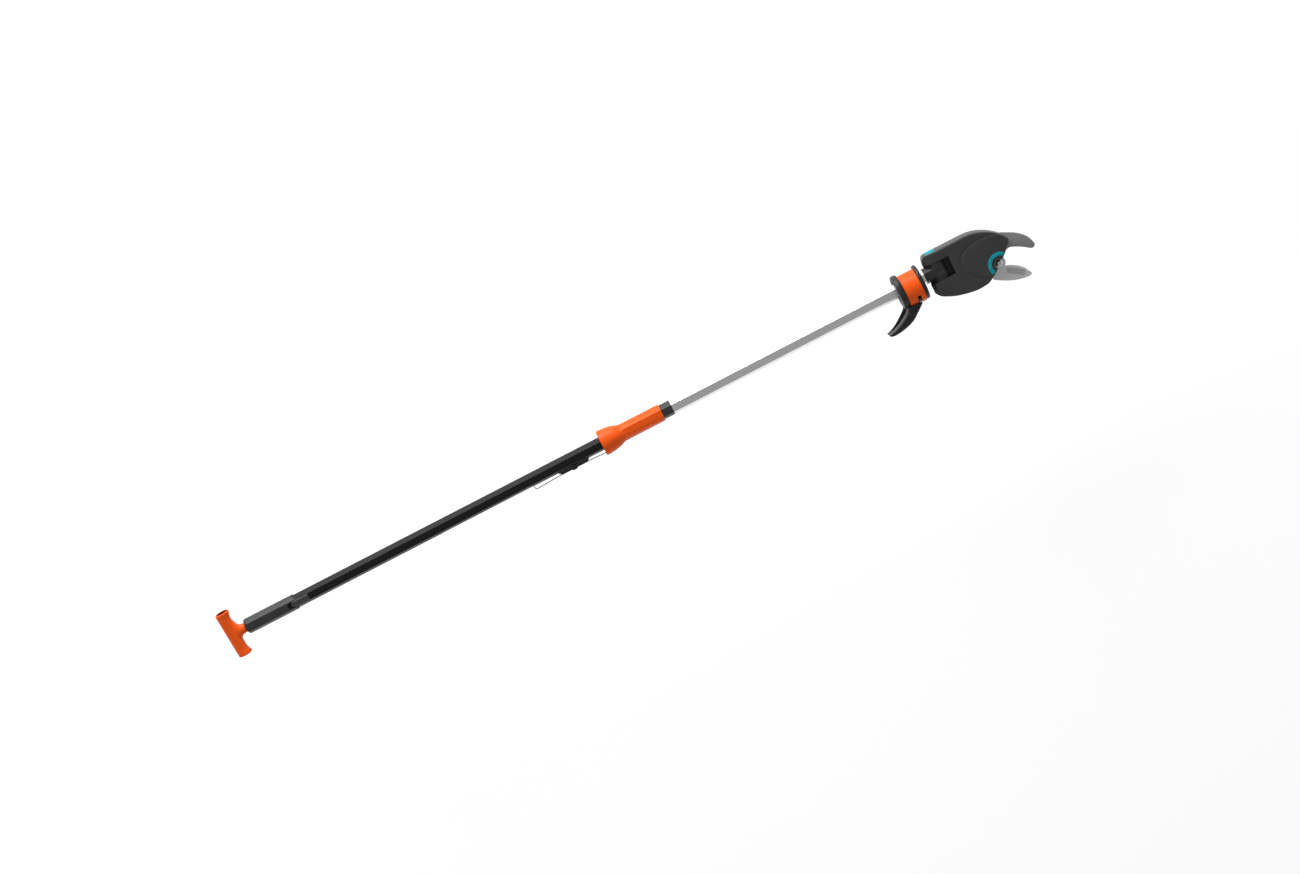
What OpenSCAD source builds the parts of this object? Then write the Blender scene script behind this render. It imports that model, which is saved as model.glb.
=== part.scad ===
// Tree pruner pole: a pull-cord pruner head on a two-part hexagonal pole.
// X runs along the pole from the T-handle to the head, Y is across the pole
// in the plane of the blades, Z is across the blades. The origin is the
// middle of the T-bar.

/* [Tubes] */
// From the T-bar axis to the back end of the grip
grip_back = 27; // [24:0.5:40]
// Length of the grip sleeve
grip_len = 101; // [90:1:140]
// Lower tube across its flats
lower_af = 22.4; // [20:0.2:26]
// Wall of the lower tube
lower_wall = 1.2; // [0.8:0.1:1.6]
// From the T-bar axis to the joint collar
joint_x = 861; // [800:1:950]
// Length of the joint collar
joint_len = 20; // [10:1:30]
// Length of lower tube held inside the upper tube
tube_lap = 80; // [50:1:120]
// Wall of the upper tube
upper_wall = 1; // [0.8:0.1:1.6]
// From the T-bar axis to the head end of the upper tube
upper_end = 1386.5; // [1250:0.5:1500]
// Corner radius of both tubes
tube_corner = 1.5; // [1:0.1:2.5]

/* [T-handle] */
// Length of the T-bar
bar_len = 88; // [70:1:120]
// Diameter of the T-bar at its ends
bar_d = 26.6; // [25:0.2:32]
// Bore through the T-bar
bar_bore = 21; // [18:0.5:22]
// Depth of the waist in the T-bar
bar_waist = 1; // [0.2:0.1:1.4]
// Diameter of the stem
stem_d = 17.6; // [16:0.2:20]
// Diameter of the plug on the stem
plug_d = 14; // [12:0.2:15]
// Length of the plug on the stem
plug_len = 19; // [15:1:25]
// Diameter of the draw cord
cord_d = 3; // [2:0.1:4]
// Diameter of the pin that holds the cord in the plug
anchor_d = 3; // [2:0.1:4]

/* [Grip] */
// Wall of the grip sleeve
grip_wall = 1.75; // [1.5:0.05:3]
// Corner radius of the grip sleeve
grip_corner = 3; // [2:0.1:4]
// Thickness of the end wall of the grip
grip_end = 3; // [2:0.1:5]
// Number of ribs round the grip
rib_count = 4; // [2:1:6]
// Distance from rib to rib
rib_pitch = 5; // [3:0.1:6]
// Height of the ribs
rib_h = 0.5; // [0.2:0.1:1]
// Length of the latch on the grip
latch_len = 34; // [28:1:40]
// Width of the latch
latch_w = 11; // [8:0.1:12]
// Height of the latch above the tube
latch_h = 3; // [2:0.1:4]
// Travel of the latch
latch_travel = 7; // [4:0.5:10]

/* [Slide handle] */
// Length of the slide handle
handle_len = 121; // [110:1:160]
// Wall of the slide handle at its flats
handle_wall = 1.6; // [1.2:0.1:3]
// Corner radius of the slide handle
handle_corner = 3; // [2:0.1:4]
// Radius of the flared rim
flare_r = 23.7; // [23:0.1:28]
// Length of the flare
flare_len = 44; // [40:1:55]
// Depth of the hollow in the flare
flare_depth = 14; // [10:0.5:20]
// Wall of the flared rim
flare_wall = 2.2; // [1.5:0.1:3]
// Wall of the slide bushes
bush_wall = 1.3; // [1:0.1:2]
// Length of each slide bush
bush_len = 16; // [10:1:20]
// Full stroke of the slide handle and the T-handle
stroke = 180; // [120:1:200]
// Diameter of the link wire
wire_d = 1.9; // [1.5:0.1:2.2]
// Distance of the link wire from the pole axis
wire_drop = 19; // [18:0.1:20]
// From the slide handle back to the hooked end of the link wire
wire_reach = 141; // [120:1:160]
// Length of the guide shoe on the link wire
shoe_len = 61; // [40:1:70]
// Width of the guide shoe
shoe_w = 7; // [5:0.1:9]
// Length of the shuttle inside the lower tube
shuttle_len = 28; // [20:1:40]

/* [Hook collar] */
// Radius of the two flanges
flange_r = 32.7; // [31:0.1:36]
// Distance of the flange centre below the pole axis
flange_drop = 5; // [4:0.1:6]
// Length of the collar along the pole
collar_len = 50.5; // [46:0.5:56]
// Gap from the collar to the end of the upper tube
collar_gap = 6; // [3:0.1:8]
// Thickness of the flange nearer the grip
rear_flange = 12; // [8:0.1:14]
// Thickness of the flange nearer the head
front_flange = 7; // [5:0.1:9]
// Radius of the band between the flanges
band_r = 30.5; // [29:0.1:32]
// Distance of the band centre below the pole axis
band_drop = 8; // [7:0.1:9]
// Radius of the hub under the band
hub_r = 24.6; // [24.4:0.1:26]
// Width of the slot in the band
slot_w = 7; // [6.6:0.1:8]
// Diameter of the hook pin
hook_pin_d = 4; // [3:0.1:4.4]
// Distance of the hook pin below the pole axis
hook_pin_drop = 32; // [31:0.1:33]
// Width of the hook at its root
hook_root_w = 42; // [36:0.5:44]
// Width of the hook at its tip
hook_tip_w = 16; // [12:0.5:20]
// Wall of the hook
hook_wall = 2.5; // [2:0.1:3.5]
// Diameter of the collar screw
collar_screw_d = 5; // [4:0.1:6]

/* [Swivel neck] */
// From the end of the upper tube to the swivel axis
neck_reach = 28; // [27:0.5:36]
// Across the flats of the neck block
neck_af = 25.8; // [25:0.1:27]
// Corner radius of the neck block
neck_corner = 2; // [1.5:0.1:3]
// Length of the neck block
neck_len = 19.5; // [17:0.5:26]
// Length of the spigot inside the upper tube
spigot_len = 45; // [40:1:70]
// Radius of the swivel barrel
barrel_r = 15.5; // [15:0.1:17]
// Length of the swivel barrel
barrel_len = 34.4; // [33:0.1:34.8]
// Reach of the shoulder between the neck block and the barrel, from the swivel axis
shoulder_reach = 22; // [20:0.1:23]
// Width of the end of the shoulder
shoulder_w = 4; // [2:0.1:8]
// Height of the cord slot in the barrel
barrel_slot = 4; // [3.8:0.1:6]
// Bore for the cord through the neck
neck_bore = 10; // [8:0.1:12]
// Diameter of the swivel pins
swivel_pin_d = 10; // [9:0.1:11]

/* [Head casing] */
// Half thickness of the head casing
casing_half = 16; // [15:0.1:18]
// Wall of the head casing
casing_wall = 2.5; // [2:0.1:3]
// Radius of the casing edges
casing_edge = 4; // [3:0.1:5]
// From the swivel axis to the rounded back of the casing
casing_back = 23; // [21:0.1:25]
// Half width of the groove round the side panel
groove_w = 5; // [4:0.1:6]
// Depth of the groove round the side panel
groove_depth = 1.4; // [0.6:0.1:1.6]
// Height of the window between the ears
window_h = 35.2; // [35:0.1:36]
// From the swivel axis to the floor of the window
window_depth = 24.5; // [23:0.1:26]
// Half thickness of the web across the window
window_web = 6; // [5:0.1:6.2]
// Diameter of the release button
button_d = 21; // [18:0.1:22]
// Height of the release button
button_h = 7; // [6:0.1:8]
// Travel of the release button
button_travel = 4; // [2:0.1:5]
// Diameter of the plunger under the button
plunger_d = 6; // [5:0.1:7]
// Diameter of the cover screws
screw_d = 3; // [2.5:0.1:3.5]

/* [Blades] */
// From the swivel axis to the blade pivot, along the pole
pivot_reach = 102.5; // [100:0.5:104]
// Distance of the blade pivot below the pole axis
pivot_drop = 39.7; // [39:0.1:41]
// Thickness of the cutting blade
blade_t = 3; // [2.5:0.1:3.2]
// Thickness of the counter-blade
counter_t = 3.5; // [3:0.1:4]
// Radius of the boss on the cutting blade
boss_r = 12.8; // [11:0.1:13]
// Diameter of the pivot bolt
bolt_d = 8; // [6:0.1:9]
// Diameter of the head of the pivot bolt
bolt_head_d = 14; // [12:0.1:16]
// Radius of the hole for the head of the pivot bolt
bolt_hole_r = 8.8; // [8.4:0.1:10]
// Inner radius of the ring round the pivot
ring_in = 15.5; // [15:0.1:16]
// Outer radius of the ring round the pivot
ring_out = 22.5; // [21:0.1:24]
// Length of the pull arm on the cutting blade
arm_len = 42; // [40:0.5:43]
// Direction of the pull arm with the blade open
arm_angle = 66; // [64:1:70]
// Width of the pull arm
arm_w = 12; // [10:0.1:13]
// Radius of the cord pulleys
pulley_r = 7; // [6:0.1:7.4]
// Diameter of the pulley pins
pulley_pin_d = 4; // [3:0.1:5]

/* [Fits] */
// Clearance on each side between nested tubes and sleeves
tube_fit = 0.1; // [0.05:0.01:0.15]
// Clearance on each side of what slides
slide_fit = 0.25; // [0.2:0.01:0.4]
// Clearance on each side of what is seated
seat_fit = 0.02; // [0.01:0.01:0.05]
// Radial clearance of what turns
turn_fit = 0.05; // [0.02:0.01:0.1]
// Gap between flat faces that pass each other
face_gap = 0.1; // [0.05:0.01:0.2]

/* [Hidden] */
$fn = 64;
eps = 0.05;
corner_steps = 4;
curve_steps = 3;

grip_af = lower_af + 2 * (tube_fit + grip_wall);
lower_in = lower_af - 2 * lower_wall;
upper_in = lower_af + 2 * tube_fit;
upper_af = upper_in + 2 * upper_wall;
upper_start = joint_x + joint_len;
lower_start = grip_back + grip_end;
lower_end = upper_start + tube_lap;

bush_in = lower_af + 2 * slide_fit;
bush_out = bush_in + 2 * bush_wall;
handle_af = bush_out + 2 * (seat_fit + handle_wall);
handle_front = joint_x - slide_fit;
handle_back = handle_front - handle_len;
hook_x = handle_back - wire_reach;
wire_end = handle_back + flare_depth + 12;
wire_bend = 4;
shoe_x = handle_back - 92;
shoe_top = tube_reach(lower_af, tube_corner) + slide_fit;
shuttle_af = lower_in - 2 * slide_fit;
slot_clear = 0.55;

latch_x = grip_back + grip_len - 9;
latch_base = lower_af / 2 + slide_fit;
latch_foot = 6;
foot_x = latch_x + latch_len - 13;

collar_end = upper_end - collar_gap;
collar_start = collar_end - collar_len;
band_start = collar_start + rear_flange;
band_end = collar_end - front_flange;
slot_x = band_start + 18.8;
hook_pin_len = 36;
hook_depth = 120;
lug_half = 9;
lug_r = slot_w / 2 - slide_fit;
collar_screw_x = collar_start + 20;

swivel_x = upper_end + neck_reach;
pivot_x = swivel_x + pivot_reach;
pivot_y = -pivot_drop;
pivot_place = [pivot_reach, -pivot_drop];
slot_back = 5;
pin_inner = neck_bore / 2 + 0.5;
plunger_bottom = pin_inner + 2.5;
lower_pin_bottom = -28;
button_top = 36.2;
button_seat = button_top - button_h;
spring_block = 2.7;
upper_pin_top = button_seat - button_travel - spring_block;
groove_floor = 0.5;
back_start = 4;
cavity_top = casing_half - casing_wall;
cavity_back = window_depth + casing_wall;
cord_gate = cord_d / 2 + 2;

arm_tip = arm_len * [cos(arm_angle), sin(arm_angle)];
sheave_r = pulley_r - 2.4;
cord_r = sheave_r + cord_d / 2 + face_gap;
blade_top = face_gap + blade_t;
pulley_base = blade_top + 0.4;
pulley_rim = 0.4;
groove_half = cord_d / 2 + 0.35;
groove_low = pulley_base + pulley_rim + groove_half;
groove_high = groove_low + 2 * groove_half + pulley_rim;
pulley_top = groove_high + groove_half + pulley_rim;
pin_reach = cavity_top - 0.6;
head_pulley = [swivel_x + 43.5, -14];
cord_end = [swivel_x + 61, -10.5];
spring_arm = 21;
spring_anchor = [pivot_x + 23.5, pivot_y + 30.2];
spring_z = blade_top + 3.2;
slot_sweep = 34;

// Side view of the head casing: its back measured from the swivel axis, its front from the pivot
casing_below = [
    [-24, -18], [-23.5, -34], [-19.5, -40.5], [-12.5, -46], [5.5, -54.5], [25.5, -60.2]
];
casing_front = [
    [-55, -23.9], [-37, -23], [-27, -19.8], [-9, -7.7], [11, 8.7], [19, 16.2], [28, 25.7], [32.5, 33.2],
    [29, 41.2], [21, 50.7], [8, 60.7], [-7, 68.7], [-22, 73.5], [-39, 75.4]
];
casing_above = [[25.5, 35.8], [-10.5, 35.7], [-18.5, 32], [-21.5, 24], [-22.5, 12]];
casing_points = concat(casing_below, [for (p = casing_front) p + pivot_place], casing_above);
// Middle of the groove round the side panel, measured from the pivot; its front runs out past the casing
panel_shape = [
    [24, 50], [5.5, 57.2], [-17.5, 58.7], [-36.5, 56.2], [-51.5, 50.2], [-59.5, 40.7], [-62.5, 29.7],
    [-61.5, 19.7], [-56.5, 8.7], [-46.5, -3.3], [-27.5, -18.3], [0, -36], [45, -20], [60, 20], [45, 42]
];
panel_points = [for (p = panel_shape) p + pivot_place];
// Cutting blade, measured from its pivot, upper edge first
blade_points = [
    [-8, -8], [11, -10.3], [23, -16.4], [31, -21.6], [38, -28.7], [42, -35.5], [45.3, -41.5],
    [44.6, -45], [40, -46.4], [33, -45.9], [23, -44.1], [13, -41.1], [3, -37], [-7, -31.8],
    [-17, -25.7], [-21.5, -21.8], [-17, -15]
];
// Counter-blade, measured from the pivot, inner edge first
counter_points = [
    [11, -3], [12.2, 5.5], [18.5, 12.8], [23, 14.8], [28, 16.2], [33, 15.1], [43, 10.5], [53, 4.4],
    [61, -1.6], [66, -3.9], [70.5, -3], [73, 1.5], [71.5, 8.5], [68, 16.7], [63, 23.9],
    [53, 33.1], [43, 39.3], [33, 44.4], [23, 49.2], [10, 48], [-6, 40], [-14, 26], [-14, 8], [-11, -3]
];
// Side view of the branch hook, measured from its pin
hook_points = [
    [-2, 1.5], [2, -3.5], [-5.5, -13.5], [-18, -23], [-25, -28.5], [-40, -33.3], [-55, -35.8],
    [-70, -36.4], [-75.5, -33.5], [-77, -29.5], [-70, -29], [-60, -25.5], [-50, -20.5],
    [-40, -13], [-31, -2], [-17.5, -1], [-14, -5.5], [-5, -6]
];
// Places of the cover screws: two measured from the swivel axis, four from the pivot
rear_screws = [[18, 28], [14, -31]];
front_screws = [[-48.5, 67.2], [-62.5, -10.3], [-36.5, -13.3], [-6.5, 59.7]];
screw_points = concat(rear_screws, [for (p = front_screws) p + pivot_place]);
// Places of the counter-blade screws, measured from the pivot
counter_screw_points = [[2, 32], [-7, 17]];
// Route of the cord inside the head
head_route = concat(
    [[swivel_x + 3, 0, 0], [swivel_x + 26, 0, 0.3], [swivel_x + 55, 1.5, 3]],
    cord_turn([pivot_x, pivot_y] + arm_tip, groove_low, 92, -80),
    cord_turn(head_pulley, groove_low, -80, -260),
    cord_turn([pivot_x, pivot_y] + arm_tip, groove_high, 100, -87),
    [[cord_end[0] + 25, cord_end[1] + 0.6, groove_high], [cord_end[0] + 3.2, cord_end[1], groove_high]]
);

function tube_reach(af, r) = (af / 2 - r) / cos(30) + r;

// Hexagon with rounded corners, two corners on the first axis
function hex_points(af, r) = [
    for (corner = [0:5], step = [0:corner_steps])
        let (
            toward = 60 * corner,
            centre = (af / 2 - r) / cos(30),
            turn = toward - 30 + 60 * step / corner_steps
        )
        [centre * cos(toward) + r * cos(turn), centre * sin(toward) + r * sin(turn)]
];

// Smooth closed curve through the given points
function curve_at(a, b, c, d, t) =
    0.5 * (2 * b + (c - a) * t + (2 * a - 5 * b + 4 * c - d) * t * t
        + (3 * b - a - 3 * c + d) * t * t * t);
function smooth(points, steps = curve_steps) =
    let (count = len(points))
    [
        for (i = [0:count - 1], step = [0:steps - 1])
            curve_at(
                points[(i + count - 1) % count], points[i], points[(i + 1) % count],
                points[(i + 2) % count], step / steps
            )
    ];

// Outline moved inwards by the given distance, for points that run anticlockwise
function unit(v) = v / norm(v);
function inset(points, d) =
    let (count = len(points))
    [
        for (i = [0:count - 1])
            let (
                before = unit(points[i] - points[(i + count - 1) % count]),
                after = unit(points[(i + 1) % count] - points[i]),
                along = unit(before + after),
                side = [-along[1], along[0]]
            )
            points[i] + side * d / max(0.6, cross(after, side))
    ];

// Points of a cord round a pulley, from one angle down to another
function cord_turn(centre, z, from, to) = [
    for (step = [0:8])
        let (a = from + (to - from) * step / 8)
        [centre[0] + cord_r * cos(a), centre[1] + cord_r * sin(a), z]
];

// Rings of points joined into one closed solid
module loft(rings) {
    count = len(rings[0]);
    last = len(rings) - 1;
    points = [for (ring = rings) each ring];
    sides = [
        for (level = [0:last - 1], i = [0:count - 1])
            let (j = (i + 1) % count)
            each [
                [level * count + i, (level + 1) * count + i, level * count + j],
                [level * count + j, (level + 1) * count + i, (level + 1) * count + j]
            ]
    ];
    bottom = [for (i = [0:count - 1]) i];
    top = [for (i = [count - 1:-1:0]) last * count + i];
    polyhedron(points = points, faces = concat([bottom], sides, [top]), convexity = 10);
}

function lift(points, z) = [for (p = points) [p[0], p[1], z]];

// Tube swept along a route of points
module sweep(route, d, sides = 8) {
    last = len(route) - 1;
    rings = [
        for (i = [0:last])
            let (
                along = unit(route[min(i + 1, last)] - route[max(i - 1, 0)]),
                across = unit(cross(along, [0, 0, 1])),
                over = cross(across, along)
            )
            [
                for (k = [0:sides - 1])
                    let (a = 360 * k / sides)
                    route[i] + d / 2 * (across * cos(a) + over * sin(a))
            ]
    ];
    loft(rings);
}

// Section drawn with Y to the right and Z up, pushed along the pole
module along_pole(x, length) {
    translate([x, 0, 0])
        rotate([90, 0, 90])
            linear_extrude(length)
                children();
}

module hex_bar(x, length, af, r) {
    along_pole(x, length)
        polygon(hex_points(af, r));
}

module rod_x(x, length, d) {
    translate([x, 0, 0])
        rotate([0, 90, 0])
            cylinder(d = d, h = length);
}

module rod_y(y, length, d) {
    translate([0, y, 0])
        rotate([-90, 0, 0])
            cylinder(d = d, h = length);
}

module rod_z(place, z, length, d) {
    translate([place[0], place[1], z])
        cylinder(d = d, h = length);
}

module at_swivel() {
    translate([swivel_x, 0, 0])
        children();
}

module at_pivot() {
    translate([pivot_x, pivot_y, 0])
        children();
}

module t_handle() {
    half = bar_len / 2;
    end_r = bar_d / 2;
    waist_r = end_r - bar_waist;
    color("orangered")
        difference() {
            union() {
                rotate([-90, 0, 0])
                    rotate_extrude()
                        polygon([
                            [0, -half], [end_r - 1, -half], [end_r, 1 - half], [end_r, 8 - half],
                            [waist_r, 17 - half], [waist_r, half - 17], [end_r, half - 8],
                            [end_r, half - 1], [end_r - 1, half], [0, half]
                        ]);
                rod_x(0, grip_back - seat_fit, stem_d);
                translate([end_r - 3.5, 0, 0])
                    rotate([0, 90, 0])
                        cylinder(d1 = stem_d + 9, d2 = stem_d, h = 9);
                rod_x(0, grip_back + plug_len, plug_d);
            }
            rod_y(-half - 1, bar_len + 2, bar_bore);
            rod_x(lower_start, plug_len, cord_d + 2 * seat_fit);
            rod_z([lower_start + 8, 0], -plug_d, 2 * plug_d, anchor_d + 2 * seat_fit);
        }
}

module cord_anchor_pin() {
    color("silver")
        difference() {
            rod_z([lower_start + 8, 0], -plug_d / 2 + 0.5, plug_d - 1, anchor_d);
            rod_x(lower_start, plug_len, cord_d + 2 * seat_fit);
        }
}

module draw_cord() {
    color("dimgray")
        rod_x(lower_start + 1, swivel_x - lower_start - 2, cord_d);
}

module grip_sleeve() {
    front = grip_back + grip_len;
    color([0.22, 0.22, 0.23])
        difference() {
            union() {
                hex_bar(grip_back, grip_len, grip_af - 6, grip_corner);
                hex_bar(grip_back + 1, grip_len - 1, grip_af - 3, grip_corner);
                hex_bar(grip_back + 2.5, grip_len - 2.5, grip_af - 1, grip_corner);
                hex_bar(grip_back + 4.5, grip_len - 4.5, grip_af, grip_corner);
                for (rib = [0:rib_count - 1])
                    hex_bar(front - 31 + rib * rib_pitch, 1.6, grip_af + 2 * rib_h, grip_corner + rib_h);
            }
            hex_bar(lower_start, grip_len, lower_af + 2 * tube_fit, tube_corner);
            rod_x(grip_back - 1, grip_end + 2, plug_d + 2 * turn_fit);
            translate([latch_x - latch_travel - 1, -latch_w / 2 - slide_fit, lower_af / 2 - 1])
                cube([grip_len, latch_w + 2 * slide_fit, 20]);
        }
}

module grip_latch() {
    color([0.16, 0.16, 0.17])
        union() {
            translate([latch_x, -latch_w / 2, latch_base])
                cube([latch_len - 3, latch_w, latch_h]);
            translate([latch_x, -latch_w / 2 + 2, latch_base])
                cube([latch_len, latch_w - 4, latch_h - 0.8]);
            for (rib = [-1:1])
                translate([latch_x + 3, rib * latch_w / 3.4 - 0.7, latch_base])
                    cube([latch_len - 7, 1.4, latch_h + 0.6]);
            translate([foot_x, -1.5, lower_in / 2 - 1])
                cube([latch_foot, 3, latch_h + lower_wall + 1]);
            translate([foot_x - 1, -4, lower_in / 2 - slide_fit - 1.5])
                cube([latch_foot + 2, 8, 1.5]);
        }
}

module stem_bush() {
    color("gainsboro")
        difference() {
            rod_x(lower_start, plug_len + 4, lower_in - 2 * seat_fit);
            rod_x(lower_start - 1, plug_len + 6, plug_d + 2 * turn_fit);
        }
}

module lower_tube() {
    color([0.13, 0.13, 0.14])
        difference() {
            hex_bar(lower_start, lower_end - lower_start, lower_af, tube_corner);
            hex_bar(lower_start - 1, lower_end - lower_start + 2, lower_in, tube_corner - 0.6);
            translate([hook_x - stroke - 3, -lower_af, -wire_d / 2 - slot_clear])
                cube([stroke + 6, lower_af - lower_in / 3, wire_d + 2 * slot_clear]);
            translate([foot_x - latch_travel - 2, -1.5 - slide_fit, 0])
                cube([latch_foot + latch_travel + 4, 3 + 2 * slide_fit, lower_af]);
        }
}

module joint_collar() {
    color([0.3, 0.3, 0.32])
        difference() {
            hex_bar(joint_x, joint_len, upper_af, tube_corner);
            hex_bar(joint_x - 1, joint_len + 2, upper_in, tube_corner);
        }
}

module upper_tube() {
    color("silver")
        difference() {
            hex_bar(upper_start, upper_end - upper_start, upper_af, tube_corner);
            hex_bar(upper_start - 1, upper_end - upper_start + 2, upper_in, tube_corner);
            collar_screw_hole();
        }
}

module slide_handle() {
    bore_floor = handle_back + flare_depth;
    color("orangered")
        difference() {
            union() {
                hex_bar(bore_floor, handle_len - flare_depth, handle_af, handle_corner);
                translate([handle_back, 0, 0])
                    rotate([0, 90, 0])
                        rotate_extrude()
                            polygon([
                                [0, 0], [flare_r - 1, 0], [flare_r, 1], [flare_r - 0.6, 13],
                                [flare_r - 1.7, 21], [flare_r - 3.7, 31], [flare_r - 6.4, 38],
                                [handle_af / 2 + 1.2, flare_len], [handle_af / 2, flare_len + 3],
                                [0, flare_len + 3]
                            ]);
                for (rib = [0:2])
                    hex_bar(handle_front - 20.5 + 5 * rib, 1.6, handle_af + 0.8, handle_corner + 0.4);
            }
            rod_x(handle_back - 1, flare_depth + 1, 2 * (flare_r - flare_wall));
            hex_bar(handle_back, handle_len + 1, bush_in + 1, tube_corner);
            hex_bar(handle_back, flare_depth + bush_len, bush_out + 2 * seat_fit, tube_corner);
            hex_bar(handle_front - bush_len, bush_len + 1, bush_out + 2 * seat_fit, tube_corner);
            translate([0, -wire_drop, 0])
                rod_x(bore_floor - 1, wire_end - bore_floor + 1, wire_d + 2 * seat_fit);
        }
}

module slide_bushes() {
    color("ivory")
        for (x = [handle_back + flare_depth, handle_front - bush_len])
            difference() {
                hex_bar(x, bush_len, bush_out, tube_corner);
                hex_bar(x - 1, bush_len + 2, bush_in, tube_corner);
            }
}

module link_wire() {
    color("lightgray")
        union() {
            translate([hook_x, -wire_drop + wire_bend, 0])
                rotate([-90, 0, 0])
                    cylinder(d = wire_d, h = wire_drop - wire_bend - 5);
            translate([hook_x + wire_bend, -wire_drop + wire_bend, 0])
                rotate([0, 0, 180])
                    rotate_extrude(angle = 90)
                        translate([wire_bend, 0])
                            circle(d = wire_d);
            translate([0, -wire_drop, 0])
                rod_x(hook_x + wire_bend, wire_end - hook_x - wire_bend, wire_d);
        }
}

module wire_shoe() {
    color([0.1, 0.1, 0.1])
        difference() {
            union() {
                translate([shoe_x, -wire_drop - wire_d / 2 - 0.4, -shoe_w / 2])
                    cube([shoe_len, wire_drop + wire_d / 2 + 0.4 - shoe_top, shoe_w]);
                translate([shoe_x + 25, -wire_drop - wire_d / 2 - 1.6, -shoe_w / 2])
                    cube([10, 4, shoe_w]);
            }
            translate([0, -wire_drop, 0])
                rod_x(shoe_x - 1, shoe_len + 2, wire_d + 2 * seat_fit);
        }
}

module shuttle() {
    color("white")
        difference() {
            hex_bar(hook_x - shuttle_len / 2, shuttle_len, shuttle_af, tube_corner - 0.6);
            rod_x(hook_x - shuttle_len, 2 * shuttle_len, cord_d + 2 * seat_fit);
            translate([hook_x, 0, 0])
                rod_y(-lower_af, lower_af - 5 + seat_fit, wire_d + 2 * seat_fit);
        }
}

module collar_screw_hole() {
    rod_z([collar_screw_x, 0], -flange_r - flange_drop, flange_r + flange_drop, collar_screw_d + 2 * seat_fit);
}

module collar_disc(x, thickness, r, drop) {
    translate([0, -drop, 0])
        rod_x(x, thickness, 2 * r);
}

module hook_collar() {
    color([0.11, 0.11, 0.12])
        difference() {
            union() {
                collar_disc(collar_start, rear_flange, flange_r, flange_drop);
                collar_disc(band_end, front_flange, flange_r, flange_drop);
                collar_disc(collar_start, collar_len, hub_r, band_drop);
                for (side = [-1, 1])
                    intersection() {
                        collar_disc(slot_x - slot_w / 2 + seat_fit, slot_w - 2 * seat_fit, band_r - 0.5, band_drop);
                        translate([slot_x - slot_w, -60, side > 0 ? lug_half + slide_fit : -lug_half - slide_fit - 9])
                            cube([2 * slot_w, 40, 9]);
                    }
            }
            hex_bar(collar_start - 1, collar_len + 2, upper_af + 2 * tube_fit, tube_corner);
            translate([collar_start - 1, 0, 0])
                rod_x(0, 5, 2 * tube_reach(upper_af, tube_corner) + 6);
            translate([slot_x, -hook_pin_drop, -lug_half - slide_fit])
                cylinder(r = lug_r + slide_fit + 1.5, h = 2 * (lug_half + slide_fit));
            rod_z([slot_x, -hook_pin_drop], -hook_pin_len, 2 * hook_pin_len, hook_pin_d + 2 * seat_fit);
            collar_screw_hole();
        }
}

module collar_band() {
    color("orangered")
        difference() {
            collar_disc(band_start + seat_fit, band_end - band_start - 2 * seat_fit, band_r, band_drop);
            collar_disc(band_start - 1, band_end - band_start + 2, hub_r + seat_fit, band_drop);
            translate([slot_x - slot_w / 2, -flange_r - 20, -flange_r])
                cube([slot_w, 20 + flange_r - 24, 2 * flange_r]);
            collar_screw_hole();
        }
}

module hook_plan(root_w, tip_w) {
    tip_x = slot_x - 78;
    knee_x = slot_x - 28;
    polygon([
        [tip_x, -tip_w / 2], [knee_x, -root_w / 2], [slot_x - 12, -root_w / 2], [slot_x - 9, -lug_half],
        [slot_x + 5, -lug_half], [slot_x + 5, lug_half], [slot_x - 9, lug_half],
        [slot_x - 12, root_w / 2], [knee_x, root_w / 2], [tip_x, tip_w / 2]
    ]);
}

module hook_side(rise) {
    translate([slot_x, -hook_pin_drop + rise, 0])
        linear_extrude(2 * flange_r, center = true)
            polygon(hook_points);
}

module branch_hook() {
    color([0.09, 0.09, 0.1])
        difference() {
            union() {
                intersection() {
                    hook_side(0);
                    rotate([90, 0, 0])
                        linear_extrude(hook_depth)
                            hook_plan(hook_root_w, hook_tip_w);
                }
                rod_z([slot_x, -hook_pin_drop], -lug_half, 2 * lug_half, 2 * lug_r);
            }
            intersection() {
                hook_side(hook_wall + 0.5);
                translate([-12, 0, 0])
                    rotate([90, 0, 0])
                        linear_extrude(hook_depth)
                            hook_plan(hook_root_w - 2 * hook_wall, hook_tip_w - 2 * hook_wall);
            }
            collar_disc(collar_start - 0.5, rear_flange + 0.5 + slide_fit, flange_r + slide_fit, flange_drop);
            collar_disc(collar_start, slot_x - slot_w / 2 + slide_fit - collar_start, band_r + slide_fit, band_drop);
            rod_z([slot_x, -hook_pin_drop], -lug_half - 1, 2 * lug_half + 2, hook_pin_d + 2 * turn_fit);
        }
}

module hook_pin() {
    color("silver")
        rod_z([slot_x, -hook_pin_drop], -hook_pin_len / 2, hook_pin_len, hook_pin_d);
}

module collar_screw() {
    color("silver")
        difference() {
            rod_z([collar_screw_x, 0], -band_r + 2, band_r - 2 - neck_bore / 2 - 2, collar_screw_d);
            rod_z([collar_screw_x, 0], -band_r + 1, 3, collar_screw_d / 2);
        }
}

// Pointed shoulder that fills the space between the neck block and the jaws of the casing
module neck_shoulder() {
    touch = barrel_r * [cos(132), sin(132)];
    rotate([-90, 0, 0])
        translate([0, 0, -barrel_len / 2])
            linear_extrude(barrel_len)
                polygon([
                    [-shoulder_reach, shoulder_w / 2], [-shoulder_reach, -shoulder_w / 2],
                    [touch[0], -touch[1]], [0, 0], touch
                ]);
}

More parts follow.
